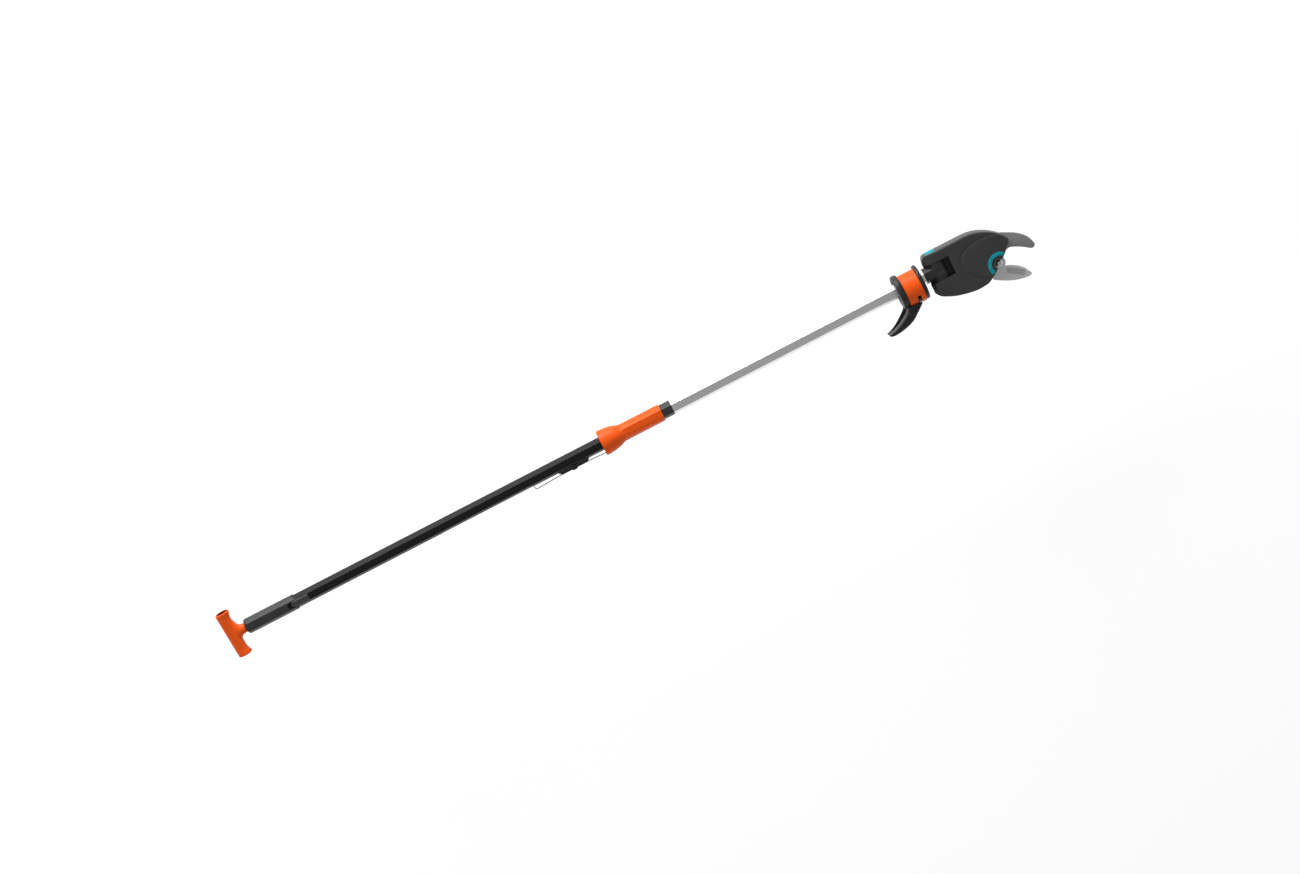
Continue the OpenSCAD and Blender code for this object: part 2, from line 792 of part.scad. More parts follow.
module neck() {
    bore_in = barrel_len / 2 - barrel_slot / 2 + 1;
    color([0.2, 0.2, 0.21])
        difference() {
            union() {
                hex_bar(upper_end - spigot_len, spigot_len + 1, upper_in - 2 * tube_fit, tube_corner);
                hex_bar(upper_end, neck_len, neck_af, neck_corner);
                at_swivel() {
                    rod_y(-barrel_len / 2, barrel_len, 2 * barrel_r);
                    neck_shoulder();
                }
            }
            rod_x(upper_end - spigot_len - 1, spigot_len + neck_reach, neck_bore);
            at_swivel() {
                difference() {
                    rod_y(-barrel_slot / 2, barrel_slot, 2 * barrel_r + 2);
                    translate([-2 * barrel_r - slot_back, -barrel_slot, -2 * barrel_r])
                        cube([2 * barrel_r, 2 * barrel_slot, 4 * barrel_r]);
                }
                for (side = [0, 180])
                    rotate([side, 0, 0])
                        rod_y(barrel_slot / 2 - 0.5, bore_in, swivel_pin_d + 2 * turn_fit);
            }
            collar_screw_hole();
        }
}

module swivel_pin_upper() {
    color("silver")
        at_swivel()
            difference() {
                rod_y(pin_inner, upper_pin_top - pin_inner, swivel_pin_d);
                rod_y(pin_inner - 1, upper_pin_top - pin_inner + 2, plunger_d + 2 * turn_fit);
            }
}

module swivel_pin_lower() {
    color("silver")
        at_swivel()
            rod_y(lower_pin_bottom, -pin_inner - lower_pin_bottom, swivel_pin_d);
}

module release_button() {
    color([0.08, 0.84, 0.9])
        at_swivel()
            difference() {
                rod_y(button_seat, button_h, button_d);
                rod_y(button_seat - 1, 4, plunger_d + 2 * seat_fit);
            }
}

module button_plunger() {
    color("silver")
        at_swivel()
            rod_y(plunger_bottom, button_seat + 3 - plunger_bottom, plunger_d);
}

module button_spring() {
    color("silver")
        at_swivel()
            difference() {
                rod_y(upper_pin_top + face_gap, button_seat - upper_pin_top - 2 * face_gap, 2 * plunger_d + 4);
                rod_y(upper_pin_top - 1, button_h + 10, 2 * plunger_d + 1.6);
            }
}

// Soft groove round the side panel: the outline of its outer slope, or of its inner one with side = -1
module groove_slope(side) {
    panel = smooth(panel_points);
    bottom = casing_half - groove_depth;
    rings = [
        for (part = [0:0.25:1])
            lift(
                inset(panel, -side * (groove_floor + (groove_w - groove_floor) * part)),
                bottom + groove_depth * (0.5 - 0.5 * cos(180 * part))
            )
    ];
    loft(concat(
        side < 0 ? [lift(inset(panel, groove_floor), bottom - 1)] : [],
        rings,
        [lift(inset(panel, -side * groove_w), casing_half + 1)]
    ));
}

// Plan of the casing, straight, with a rounded back
module casing_plan() {
    top = casing_half + 0.3;
    round_back = [
        for (turn = [90:5:180])
            [back_start + (casing_back + back_start) * cos(turn), top * sin(turn)]
    ];
    rotate([90, 0, 0])
        linear_extrude(4 * pivot_reach, center = true)
            polygon(concat(
                [[2 * pivot_reach, -1], [2 * pivot_reach, top]],
                round_back,
                [[-casing_back, -1]]
            ));
}

// One half of the casing as a solid, with rounded edges, a rounded back and the groove round the panel
module casing_half_solid() {
    outline = smooth(casing_points);
    body_h = casing_half - casing_edge;
    intersection() {
        difference() {
            loft(concat(
                [lift(outline, 0)],
                [
                    for (turn = [0:18:90])
                        lift(inset(outline, casing_edge * (1 - cos(turn))), body_h + casing_edge * sin(turn))
                ]
            ));
            difference() {
                groove_slope(1);
                groove_slope(-1);
            }
        }
        casing_plan();
    }
}

// What both halves of the casing lose: hollow, window, button well and pin seats
module casing_hollow() {
    difference() {
        intersection() {
            translate([0, 0, -eps])
                linear_extrude(cavity_top + eps)
                    polygon(inset(smooth(casing_points), casing_wall));
            translate([cavity_back, -100, -1])
                cube([200, 200, 100]);
        }
        for (place = screw_points)
            rod_z(place, -1, casing_half, screw_d + 5);
    }
    difference() {
        translate([-60, -window_h / 2, -eps])
            cube([60 + window_depth, window_h, 2 * casing_half]);
        difference() {
            translate([0, -window_h, -1])
                cube([2 * window_depth, 2 * window_h, 1 + window_web]);
            rod_y(-window_h, 2 * window_h, 2 * (barrel_r + 2 * slide_fit));
        }
    }
    translate([barrel_r - 1, -cord_gate, -eps])
        cube([cavity_back + 2 - barrel_r, 2 * cord_gate, cord_gate]);
    rod_y(upper_pin_top, 40, button_d + 2 * slide_fit);
    rod_y(0, upper_pin_top + 1, swivel_pin_d + 2 * seat_fit);
    rod_y(lower_pin_bottom, 20, swivel_pin_d + 2 * seat_fit);
}

// Place of the blade pivot, measured from the swivel axis
module at_opening(z) {
    translate([pivot_reach, -pivot_drop, z])
        children();
}

// Round opening at the blade pivot, with the wall that closes the hollow round it
module pivot_opening(floor_z) {
    at_opening(-eps)
        cylinder(r = bolt_hole_r, h = 2 * casing_half);
    at_opening(-eps)
        cylinder(r = slot_sweep, h = floor_z + eps);
}

module pivot_wall(floor_z) {
    intersection() {
        at_opening(floor_z)
            cylinder(r = ring_in + 2, h = cavity_top - floor_z + 1);
        translate([0, 0, floor_z - 1])
            linear_extrude(casing_half)
                polygon(inset(smooth(casing_points), 1));
    }
}

module front_cover() {
    color([0.21, 0.21, 0.21])
        at_swivel()
            difference() {
                union() {
                    difference() {
                        casing_half_solid();
                        casing_hollow();
                    }
                    pivot_wall(blade_top + 0.3);
                    rod_z(head_pulley - [swivel_x, 0], pulley_top - 4, cavity_top - pulley_top + 4.5, pulley_pin_d + 4);
                    rod_z(cord_end - [swivel_x, 0], groove_high - 2, cavity_top - groove_high + 2.5, 6);
                    rod_z(spring_anchor - [swivel_x, 0], blade_top + 0.5, cavity_top - blade_top, 3);
                }
                pivot_opening(blade_top + 0.3);
                at_opening(casing_half - 1)
                    cylinder(r = ring_out + seat_fit, h = 10);
                rod_z(head_pulley - [swivel_x, 0], -1, cavity_top + 0.5, pulley_pin_d + 2 * seat_fit);
                for (place = screw_points)
                    rod_z(place, -1, 11, screw_d + 2 * seat_fit);
            }
}

module rear_cover() {
    color([0.21, 0.21, 0.21])
        at_swivel()
            mirror([0, 0, 1])
                difference() {
                    union() {
                        difference() {
                            casing_half_solid();
                            casing_hollow();
                        }
                        pivot_wall(counter_t + face_gap);
                        rod_z(head_pulley - [swivel_x, 0], -face_gap, cavity_top + 0.5, pulley_pin_d + 4);
                        for (place = counter_screw_points)
                            rod_z(
                                place + pivot_place, counter_t + face_gap,
                                cavity_top - counter_t, screw_d + 5
                            );
                    }
                    at_opening(-eps)
                        cylinder(r = ring_in, h = 2 * casing_half);
                    at_opening(-1)
                        linear_extrude(1 + counter_t + face_gap)
                            polygon(inset(smooth(counter_points, 2), -face_gap));
                    rod_z(head_pulley - [swivel_x, 0], -1, cavity_top + 0.5, pulley_pin_d + 2 * seat_fit);
                    for (place = screw_points) {
                        rod_z(place, -1, 2 * casing_half, screw_d + 2 * seat_fit);
                        rod_z(place, cavity_top - 1, casing_half, 2 * screw_d + 2 * seat_fit);
                    }
                    for (place = counter_screw_points) {
                        rod_z(place + pivot_place, 0, 2 * casing_half, screw_d + 2 * seat_fit);
                        rod_z(
                            place + pivot_place, cavity_top - 1, casing_half,
                            2 * screw_d + 2 * seat_fit
                        );
                    }
                }
}

module screw(from_z, to_z) {
    translate([0, 0, from_z])
        cylinder(d = screw_d, h = to_z - from_z);
    difference() {
        translate([0, 0, from_z - 2])
            cylinder(d = 2 * screw_d, h = 2);
        translate([0, 0, from_z - 3])
            cylinder(d = screw_d / 1.2, h = 2.2, $fn = 6);
    }
}

module cover_screws() {
    color("gray")
        at_swivel()
            for (place = screw_points)
                translate(place)
                    screw(1 - cavity_top, 9);
}

module counter_screws() {
    color("gray")
        at_pivot()
            for (place = counter_screw_points)
                translate(place)
                    screw(1 - cavity_top, -2 * face_gap);
}

module pivot_ring() {
    color([0, 0.54, 0.6])
        intersection() {
            at_pivot()
                difference() {
                    translate([0, 0, casing_half - 1])
                        cylinder(r = ring_out, h = 1.3);
                    cylinder(r = ring_in, h = 2 * casing_half);
                }
            at_swivel()
                linear_extrude(2 * casing_half)
                    polygon(inset(smooth(casing_points), casing_edge - 1));
        }
}

module counter_blade() {
    color([0.44, 0.44, 0.45])
        at_pivot()
            translate([0, 0, -face_gap - counter_t])
                difference() {
                    union() {
                        linear_extrude(counter_t)
                            polygon(smooth(counter_points, 2));
                        cylinder(r = boss_r - 0.5, h = counter_t);
                    }
                    translate([0, 0, -1])
                        cylinder(d = bolt_d + 2 * seat_fit, h = counter_t + 2);
                    for (place = counter_screw_points)
                        rod_z(place, -1, counter_t + 2, screw_d + 2 * seat_fit);
                }
}

module cutting_blade() {
    color([0.66, 0.66, 0.67])
        at_pivot()
            difference() {
                union() {
                    translate([0, 0, face_gap]) {
                        linear_extrude(blade_t)
                            polygon(smooth(blade_points, 2));
                        cylinder(r = boss_r, h = blade_t);
                        rotate([0, 0, arm_angle])
                            translate([0, -arm_w / 2, 0])
                                cube([arm_len, arm_w, blade_t]);
                        rod_z(arm_tip, 0, blade_t, arm_w);
                    }
                    rod_z(spring_arm / arm_len * arm_tip, blade_t, spring_z + 1.5 - blade_t, 3);
                }
                cylinder(d = bolt_d + 4 + 2 * turn_fit, h = 20, center = true);
                rod_z(arm_tip, -1, blade_t + 3, pulley_pin_d + 2 * seat_fit);
            }
}

module pivot_bush() {
    color("darkgoldenrod")
        at_pivot()
            translate([0, 0, -face_gap])
                difference() {
                    cylinder(d = bolt_d + 4, h = blade_top + 2 * face_gap);
                    translate([0, 0, -1])
                        cylinder(d = bolt_d + 2 * seat_fit, h = blade_top + 3);
                }
}

module pivot_washer() {
    color("silver")
        at_pivot()
            translate([0, 0, blade_top + face_gap])
                difference() {
                    cylinder(d = bolt_head_d + 3, h = 1);
                    translate([0, 0, -1])
                        cylinder(d = bolt_d + 2 * seat_fit, h = 3);
                }
}

module pivot_bolt() {
    head_z = blade_top + face_gap + 1;
    color("silver")
        at_pivot()
            difference() {
                union() {
                    translate([0, 0, -counter_t - 6])
                        cylinder(d = bolt_d, h = counter_t + 7 + head_z);
                    translate([0, 0, head_z])
                        rotate_extrude()
                            polygon([
                                [0, 0], [bolt_head_d / 2, 0], [bolt_head_d / 2, 2.5],
                                [bolt_head_d / 2 - 1, 4], [bolt_head_d / 2 - 3, 5], [0, 5.4]
                            ]);
                }
                translate([0, 0, head_z + 2.6])
                    cylinder(d = bolt_d * 0.7, h = 4, $fn = 6);
            }
}

module pivot_nut() {
    color("gray")
        at_pivot()
            translate([0, 0, -counter_t - face_gap - 6])
                difference() {
                    cylinder(d = bolt_d * 1.85, h = 6, $fn = 6);
                    translate([0, 0, -1])
                        cylinder(d = bolt_d + 2 * seat_fit, h = 8);
                }
}

module groove(z) {
    translate([0, 0, z])
        rotate_extrude()
            polygon([
                [sheave_r, -cord_d / 2 - 0.1], [pulley_r, -groove_half], [pulley_r + 1, -groove_half],
                [pulley_r + 1, groove_half], [pulley_r, groove_half], [sheave_r, cord_d / 2 + 0.1]
            ]);
}

module arm_pulley() {
    color("gainsboro")
        translate([pivot_x + arm_tip[0], pivot_y + arm_tip[1], 0])
            difference() {
                translate([0, 0, pulley_base])
                    cylinder(r = pulley_r, h = pulley_top - pulley_base);
                groove(groove_low);
                groove(groove_high);
                cylinder(d = pulley_pin_d + 2 * turn_fit, h = casing_half);
            }
}

module arm_pulley_pin() {
    color("silver")
        translate([pivot_x + arm_tip[0], pivot_y + arm_tip[1], 0])
            union() {
                translate([0, 0, face_gap])
                    cylinder(d = pulley_pin_d, h = pulley_top + 0.2);
                translate([0, 0, pulley_top + 0.2])
                    cylinder(d = pulley_pin_d + 2, h = 0.8);
            }
}

module pulley_ring() {
    difference() {
        translate([0, 0, pulley_base])
            cylinder(r = pulley_r, h = 2 * (groove_half + pulley_rim));
        groove(groove_low);
        cylinder(d = pulley_pin_d + 2 * turn_fit, h = casing_half);
    }
}

module head_pulley_wheel() {
    color("gainsboro")
        translate(head_pulley)
            pulley_ring();
}

module head_pulley_pin() {
    color("silver")
        rod_z(head_pulley, -pin_reach, 2 * pin_reach, pulley_pin_d);
}

module head_cord() {
    color("dimgray")
        sweep(head_route, cord_d);
}

module return_spring() {
    start = [pivot_x, pivot_y] + spring_arm / arm_len * arm_tip;
    reach = spring_anchor - start;
    color("silver")
        translate([start[0], start[1], spring_z])
            rotate([0, 0, atan2(reach[1], reach[0])])
                rotate([0, 90, 0])
                    translate([0, 0, 1.5 + face_gap])
                        cylinder(d = 4, h = norm(reach) - 3 - 2 * face_gap);
}

t_handle();
cord_anchor_pin();
draw_cord();
grip_sleeve();
grip_latch();
stem_bush();
lower_tube();
joint_collar();
upper_tube();
slide_handle();
slide_bushes();
link_wire();
wire_shoe();
shuttle();
hook_collar();
collar_band();
branch_hook();
hook_pin();
collar_screw();
neck();
swivel_pin_upper();
swivel_pin_lower();
release_button();
button_plunger();
button_spring();
front_cover();
rear_cover();
cover_screws();
counter_screws();
pivot_ring();
counter_blade();
cutting_blade();
pivot_bush();
pivot_washer();
pivot_bolt();
pivot_nut();
arm_pulley();
arm_pulley_pin();
head_pulley_wheel();
head_pulley_pin();
head_cord();
return_spring();
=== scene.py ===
import math

import bmesh
import bpy
from mathutils import Matrix, Vector


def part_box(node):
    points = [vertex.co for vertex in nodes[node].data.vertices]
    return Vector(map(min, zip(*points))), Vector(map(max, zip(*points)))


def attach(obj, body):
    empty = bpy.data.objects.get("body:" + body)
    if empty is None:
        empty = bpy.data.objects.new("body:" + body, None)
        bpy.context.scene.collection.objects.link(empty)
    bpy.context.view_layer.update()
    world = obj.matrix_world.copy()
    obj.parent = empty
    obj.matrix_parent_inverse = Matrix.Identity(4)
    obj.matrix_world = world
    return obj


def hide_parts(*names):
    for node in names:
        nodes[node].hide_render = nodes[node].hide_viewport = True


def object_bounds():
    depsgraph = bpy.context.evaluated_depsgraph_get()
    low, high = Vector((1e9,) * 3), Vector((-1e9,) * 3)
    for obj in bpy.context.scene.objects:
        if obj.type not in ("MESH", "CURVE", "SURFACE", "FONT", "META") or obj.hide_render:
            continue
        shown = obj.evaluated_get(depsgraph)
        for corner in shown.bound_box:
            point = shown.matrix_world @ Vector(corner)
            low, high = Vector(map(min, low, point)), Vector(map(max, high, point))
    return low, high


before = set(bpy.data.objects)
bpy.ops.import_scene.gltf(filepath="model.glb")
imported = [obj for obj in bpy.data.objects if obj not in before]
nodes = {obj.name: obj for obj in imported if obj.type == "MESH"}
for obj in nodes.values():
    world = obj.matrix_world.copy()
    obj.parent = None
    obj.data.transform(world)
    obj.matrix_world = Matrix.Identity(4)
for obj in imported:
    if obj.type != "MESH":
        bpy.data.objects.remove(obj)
cad_box = [list(corner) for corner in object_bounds()]
mm = 0.001

# Camera
# The view is square to the pole, a little above the plane of the blades and from far off,
# with the pole rising to the right.
view_tilt = math.radians(13)
pole_rise = math.radians(27.31)
view_distance = 5.7
view_width = 2315 * mm
view_along = 822 * mm
view_across = -29.4 * mm
along = Vector((1, 0, 0))
toward = Vector((0, math.sin(view_tilt), math.cos(view_tilt)))
across = toward.cross(along)
right = along * math.cos(pole_rise) - across * math.sin(pole_rise)
up = along * math.sin(pole_rise) + across * math.cos(pole_rise)
bpy.ops.object.camera_add()
camera = bpy.context.object
camera.data.sensor_width = 36
camera.data.lens = camera.data.sensor_width * view_distance / view_width
stand = along * view_along + across * view_across + toward * view_distance
camera.matrix_world = Matrix.Translation(stand) @ Matrix((right, up, toward)).transposed().to_4x4()
bpy.context.scene.camera = camera
bpy.context.scene.view_settings.view_transform = "Standard"


# Floor and light
# A white sheet lies far enough below the pole for the head to swing over it. A pale sky that darkens
# overhead lights it evenly, with one wide low lamp on the side of the button.
def feed(tree, node, inputs):
    """Sets inputs of a node to values, or links them to sockets."""
    for name, value in inputs.items():
        if isinstance(value, bpy.types.NodeSocket):
            tree.links.new(value, node.inputs[name])
        else:
            node.inputs[name].default_value = value


def add_node(tree, kind, inputs=None, **settings):
    """A shader node with its settings and its inputs."""
    node = tree.nodes.new("ShaderNode" + kind)
    for name, value in settings.items():
        setattr(node, name, value)
    feed(tree, node, inputs or {})
    return node


def calc(tree, operation, *values):
    """Result of one step of arithmetic on values or sockets."""
    return add_node(tree, "Math", dict(enumerate(values)), operation=operation).outputs[0]


floor_size = 16
floor_white = (0.84, 0.84, 0.84, 1)
floor_lift = 0.5
floor_clearance = 25 * mm
swivel_x = 1414.5 * mm
floor_height = swivel_x - cad_box[1][0] - floor_clearance
pole_middle = Vector((0.8, 0, 0))
bpy.ops.object.select_all(action="DESELECT")
bpy.ops.mesh.primitive_plane_add(size=floor_size, location=(pole_middle.x, 0, floor_height))
floor = bpy.context.object
floor.name = "floor"
floor_sheet = bpy.data.materials.new("floor_sheet")
floor_sheet.use_nodes = True
tree = floor_sheet.node_tree
tree.nodes.remove(tree.nodes["Principled BSDF"])
rays = add_node(tree, "LightPath").outputs
seen = calc(tree, "MAXIMUM", rays["Is Camera Ray"], rays["Is Glossy Ray"])
seen = calc(tree, "MAXIMUM", seen, rays["Is Transmission Ray"])
sheet = add_node(tree, "BsdfDiffuse", {"Color": floor_white})
glow = add_node(tree, "Emission", {"Strength": calc(tree, "MULTIPLY", seen, floor_lift)})
both = add_node(tree, "AddShader", {0: sheet.outputs[0], 1: glow.outputs[0]})
feed(tree, tree.nodes["Material Output"], {"Surface": both.outputs[0]})
floor.data.materials.append(floor_sheet)

sky_at_horizon = 0.7
sky_overhead = 0.32
world = bpy.data.worlds.new("pale_sky")
bpy.context.scene.world = world
world.use_nodes = True
tree = world.node_tree
direction = add_node(tree, "TexCoord").outputs["Generated"]
height = add_node(tree, "SeparateXYZ", {0: direction}).outputs["Z"]
level = add_node(tree, "MapRange", {"Value": height, "To Min": sky_at_horizon, "To Max": sky_overhead})
feed(tree, tree.nodes["Background"], {"Color": (1, 1, 1, 1), "Strength": level.outputs[0]})

lamp_place = Vector((0.4, 2.95, 0.6))
lamp_width = 3.0
lamp_depth = 1.2
lamp_watts = 122
bpy.ops.object.light_add(type="AREA", location=lamp_place)
lamp = bpy.context.object
lamp.name = "key_lamp"
lamp.data.shape = "RECTANGLE"
lamp.data.size = lamp_width
lamp.data.size_y = lamp_depth
lamp.data.energy = lamp_watts
lamp.rotation_euler = (pole_middle - lamp_place).to_track_quat("-Z", "Y").to_euler()


# Lower tube
# Six-sided aluminium tube with a black anodised skin, drawn lengthwise, with a slot
# along its underside for the link wire.
def noise(tree, place, scale, detail):
    """Value of a noise pattern at a place."""
    return add_node(tree, "TexNoise", {"Vector": place, "Scale": scale, "Detail": detail}).outputs[0]


def mix(tree, mask, colour, other):
    """A colour that turns to another by a mask."""
    return add_node(tree, "Mix", {0: mask, 6: colour, 7: (*other, 1)}, data_type="RGBA").outputs[2]


def raised(tree, height, strength, depth):
    """A surface raised by a height."""
    return add_node(tree, "Bump", {"Height": height, "Strength": strength, "Distance": depth}).outputs[0]


def new_material(name):
    """A new material, with its tree and its shader."""
    material = bpy.data.materials.new(name)
    material.use_nodes = True
    return material, material.node_tree, material.node_tree.nodes["Principled BSDF"]


def surface_effect(name, pattern):
    """A shader group that gives the mask and the height of a pattern, and a roughness that follows it."""
    group = bpy.data.node_groups.new(name, "ShaderNodeTree")
    for socket in ("Fineness", "Roughness", "Spread"):
        group.interface.new_socket(socket, in_out="INPUT", socket_type="NodeSocketFloat")
    for socket in ("Mask", "Roughness", "Height"):
        group.interface.new_socket(socket, in_out="OUTPUT", socket_type="NodeSocketFloat")
    given = group.nodes.new("NodeGroupInput").outputs
    place = add_node(group, "TexCoord").outputs["Object"]
    mask, height = pattern(group, place, given["Fineness"])
    swing = calc(group, "SUBTRACT", height, 0.5)
    dull = calc(group, "MULTIPLY_ADD", swing, given["Spread"], given["Roughness"])
    feed(group, group.nodes.new("NodeGroupOutput"), {"Mask": mask, "Roughness": dull, "Height": height})
    return group


def textured(name, effect, amounts, colour, other, bumps, constants):
    """A finish whose colour, gloss and surface all follow one effect."""
    material, tree, shader = new_material(name)
    surface = add_node(tree, "Group", amounts, node_tree=effect).outputs
    tint = mix(tree, surface["Mask"], (*colour, 1), other)
    feed(tree, shader, {"Base Color": tint, "Roughness": surface["Roughness"], **constants})
    feed(tree, shader, {"Normal": raised(tree, surface["Height"], *bumps)})
    return material


def lines_along_pole(group, place, fineness):
    """Fine lines along the pole, as drawing leaves them."""
    stretched = add_node(group, "Mapping", {"Vector": place, "Scale": (0.006, 1, 1)}).outputs[0]
    lines = noise(group, stretched, fineness, 4.0)
    return calc(group, "MULTIPLY", lines, noise(group, place, 14.0, 3.0)), lines


drawn_lines = surface_effect("drawn_lines", lines_along_pole)
line_depth = 0.05 * mm


def drawn_metal(name, colour, streak, metallic, roughness, fineness, spread=0.12, relief=0.12, shine=0.5):
    """Drawn metal: two colours along fine lines, with the lines in its gloss and its surface."""
    amounts = {"Fineness": fineness, "Roughness": roughness, "Spread": spread}
    constants = {"Metallic": metallic, "Specular IOR Level": shine}
    return textured(name, drawn_lines, amounts, colour, streak, (relief, line_depth), constants)


def dress(material, *names):
    """Gives solids that keep their shape a finish."""
    for name in names:
        nodes[name].material_slots[0].material = material


tube_black = (0.006, 0.006, 0.0063)
tube_streak = (0.012, 0.012, 0.0125)
black_tube = drawn_metal("black_tube", tube_black, tube_streak, 0.0, 0.4, 900, shine=0.22)
dress(black_tube, "lower_tube")


# Grip sleeve
# Dark grey moulded sleeve over the end of the tube, six-sided like it, with a rounded back end, a scooped
# front end and four finger ribs on each side. A notch in its front takes the latch.
def spark_grain(group, place, fineness):
    """Fine spark-eroded texture of a moulding, over a slow drift."""
    grain = noise(group, place, fineness, 3.0)
    limits = {"From Min": 0.35, "From Max": 0.7, "To Min": 0.0, "To Max": 0.8}
    drift = add_node(group, "MapRange", {"Value": noise(group, place, 35.0, 2.0), **limits}).outputs[0]
    return calc(group, "MULTIPLY_ADD", grain, 0.35, drift), grain


moulded_grain = surface_effect("moulded_grain", spark_grain)
grain_depth = 0.1 * mm


def moulded_plastic(name, colour, deep, roughness, fineness=1500, relief=0.15, spread=0.2, shine=0.5):
    """Moulded plastic: a colour that drifts a little, under fine grain."""
    amounts = {"Fineness": fineness, "Roughness": roughness, "Spread": spread}
    constants = {"Specular IOR Level": shine}
    return textured(name, moulded_grain, amounts, colour, deep, (relief, grain_depth), constants)


def hexagon(flats, corner):
    """Reach of a hexagon with rounded corners, by the angle from one of its corners."""
    spoke = (flats / 2 - corner) / math.cos(math.radians(30))
    touch = math.atan2(corner * 0.5, spoke + corner * math.cos(math.radians(30)))

    def reach(angle):
        off_corner = (angle + math.radians(30)) % math.radians(60) - math.radians(30)
        if abs(off_corner) < touch:
            aside = spoke * math.sin(off_corner)
            return spoke * math.cos(off_corner) + math.sqrt(corner**2 - aside**2)
        return flats / 2 / math.cos(math.radians(30) - abs(off_corner))

    return reach


def facet_middle(angle):
    """1 at the middle of each of six facets, falling to 0 towards its edges."""
    off_middle = angle % math.radians(60) - math.radians(30)
    return max(0.0, math.cos(off_middle * 4.2)) ** 0.5


def edit_all():
    """Opens the active mesh with all of it selected."""
    bpy.ops.object.mode_set(mode="EDIT")
    bpy.ops.mesh.select_all(action="SELECT")


def start_ring(name, count, radius=1):
    """A ring of points in a new open mesh, to be pushed out into a body."""
    bpy.ops.object.select_all(action="DESELECT")
    bpy.ops.mesh.primitive_circle_add(vertices=count, radius=radius)
    bpy.context.object.name = name
    edit_all()
    return bpy.context.object


def push_rings(name, count, rings, axis="X", centre=(0, 0, 0), ends="JOIN", sharp=35):
    """A body pushed out ring by ring along an axis. A ring has a place along the axis and a reach, either of
    them a length or a function of the angle, and may have a shift across the axis."""
    piece = start_ring(name, count)
    shift = 0
    for number, ring in enumerate(rings):
        place, reach = ring[:2]
        last_shift = shift
        shift = ring[2] if len(ring) > 2 else 0
        if number:
            bpy.ops.mesh.extrude_region_move()
        mesh = bmesh.from_edit_mesh(piece.data)
        for point in mesh.verts:
            if point.select:
                angle = math.atan2(point.co.y, point.co.x - last_shift)
                far = reach(angle) if callable(reach) else reach
                point.co.x = far * math.cos(angle) + shift
                point.co.y = far * math.sin(angle)
                point.co.z = place(angle) if callable(place) else place
    bpy.ops.mesh.select_all(action="SELECT")
    if ends == "CAP":
        bpy.ops.mesh.fill_holes(sides=0)
    bpy.ops.mesh.remove_doubles(threshold=0.001 * mm)
    bpy.ops.mesh.normals_make_consistent(inside=False)
    bpy.ops.object.mode_set(mode="OBJECT")
    turn = {
        "X": Matrix(((0, 0, 1), (1, 0, 0), (0, 1, 0))),
        "Y": Matrix(((0, 1, 0), (0, 0, 1), (1, 0, 0))),
        "Z": Matrix.Identity(3),
    }[axis]
    piece.data.transform(Matrix.Translation(centre) @ turn.to_4x4())
    bpy.ops.object.shade_smooth_by_angle(angle=math.radians(sharp))
    return piece


def work_on(piece):
    """Makes one piece the only one selected and active."""
    bpy.ops.object.select_all(action="DESELECT")
    piece.select_set(True)
    bpy.context.view_layer.objects.active = piece


def shape_with(piece, kind, **settings):
    """Adds a modifier to a piece and applies it."""
    work_on(piece)
    modifier = piece.modifiers.new(kind.lower(), kind)
    for name, value in settings.items():
        setattr(modifier, name, value)
    bpy.ops.object.modifier_apply(modifier=modifier.name)


def combine(piece, tool, operation):
    """Cuts a tool out of a piece, or adds it to the piece, and takes the tool away."""
    shape_with(piece, "BOOLEAN", object=tool, operation=operation, solver="EXACT")
    bpy.data.objects.remove(tool)


def block(name, low, high, radius=0.0):
    """A block between two corners, with its edges rounded."""
    low, high = Vector(low), Vector(high)
    bpy.ops.object.select_all(action="DESELECT")
    bpy.ops.mesh.primitive_cube_add(size=1, location=(low + high) / 2, scale=high - low)
    piece = bpy.context.object
    piece.name = name
    bpy.ops.object.transform_apply(location=True, rotation=True, scale=True)
    if radius:
        edit_all()
        bpy.ops.mesh.bevel(offset=radius, segments=3, affect="EDGES")
        bpy.ops.object.mode_set(mode="OBJECT")
    return piece


def bevel_where(piece, wanted, width, segments):
    """Bevels the edges of a piece whose two ends are as wanted."""
    work_on(piece)
    bpy.ops.object.mode_set(mode="EDIT")
    bpy.ops.mesh.select_mode(type="EDGE")
    bpy.ops.mesh.select_all(action="DESELECT")
    mesh = bmesh.from_edit_mesh(piece.data)
    for edge in mesh.edges:
        if wanted(*(point.co for point in edge.verts)):
            edge.select = True
    bmesh.update_edit_mesh(piece.data)
    bpy.ops.mesh.bevel(offset=width, segments=segments, affect="EDGES")
    bpy.ops.mesh.select_mode(type="VERT")
    bpy.ops.object.mode_set(mode="OBJECT")


def soften(piece, sharp=35):
    """Smooth shading, with edges kept where the faces turn sharply."""
    work_on(piece)
    bpy.ops.object.shade_smooth_by_angle(angle=math.radians(sharp))


def fit(piece, body, slot, material, *solids):
    """Gives a finished piece its finish and its body, in place of the solids it stands for."""
    piece.data.materials.clear()
    piece.data.materials.append(material)
    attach(piece, body)
    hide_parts(*solids)


grip_back = 27 * mm
grip_front = 128 * mm
grip_flats = 26.1 * mm
grip_corner = 4 * mm
grip_round = 5.5 * mm
grip_scoop = 2 * mm
grip_rib_first = 97.8 * mm
grip_rib_pitch = 5 * mm
grip_rib_height = 0.65 * mm
rib_half = 1 * mm
tube_flats = 22.4 * mm
tube_corner = 1.5 * mm
sleeve_fit = 0.1 * mm
plug_hole = 7.05 * mm
grip_wall_inside = 30 * mm
latch_half = 5.75 * mm
notch_back = 111 * mm
notch_end = 5.5 * mm
grip_grey = (0.04, 0.04, 0.0405)
grip_deep = (0.031, 0.031, 0.0315)


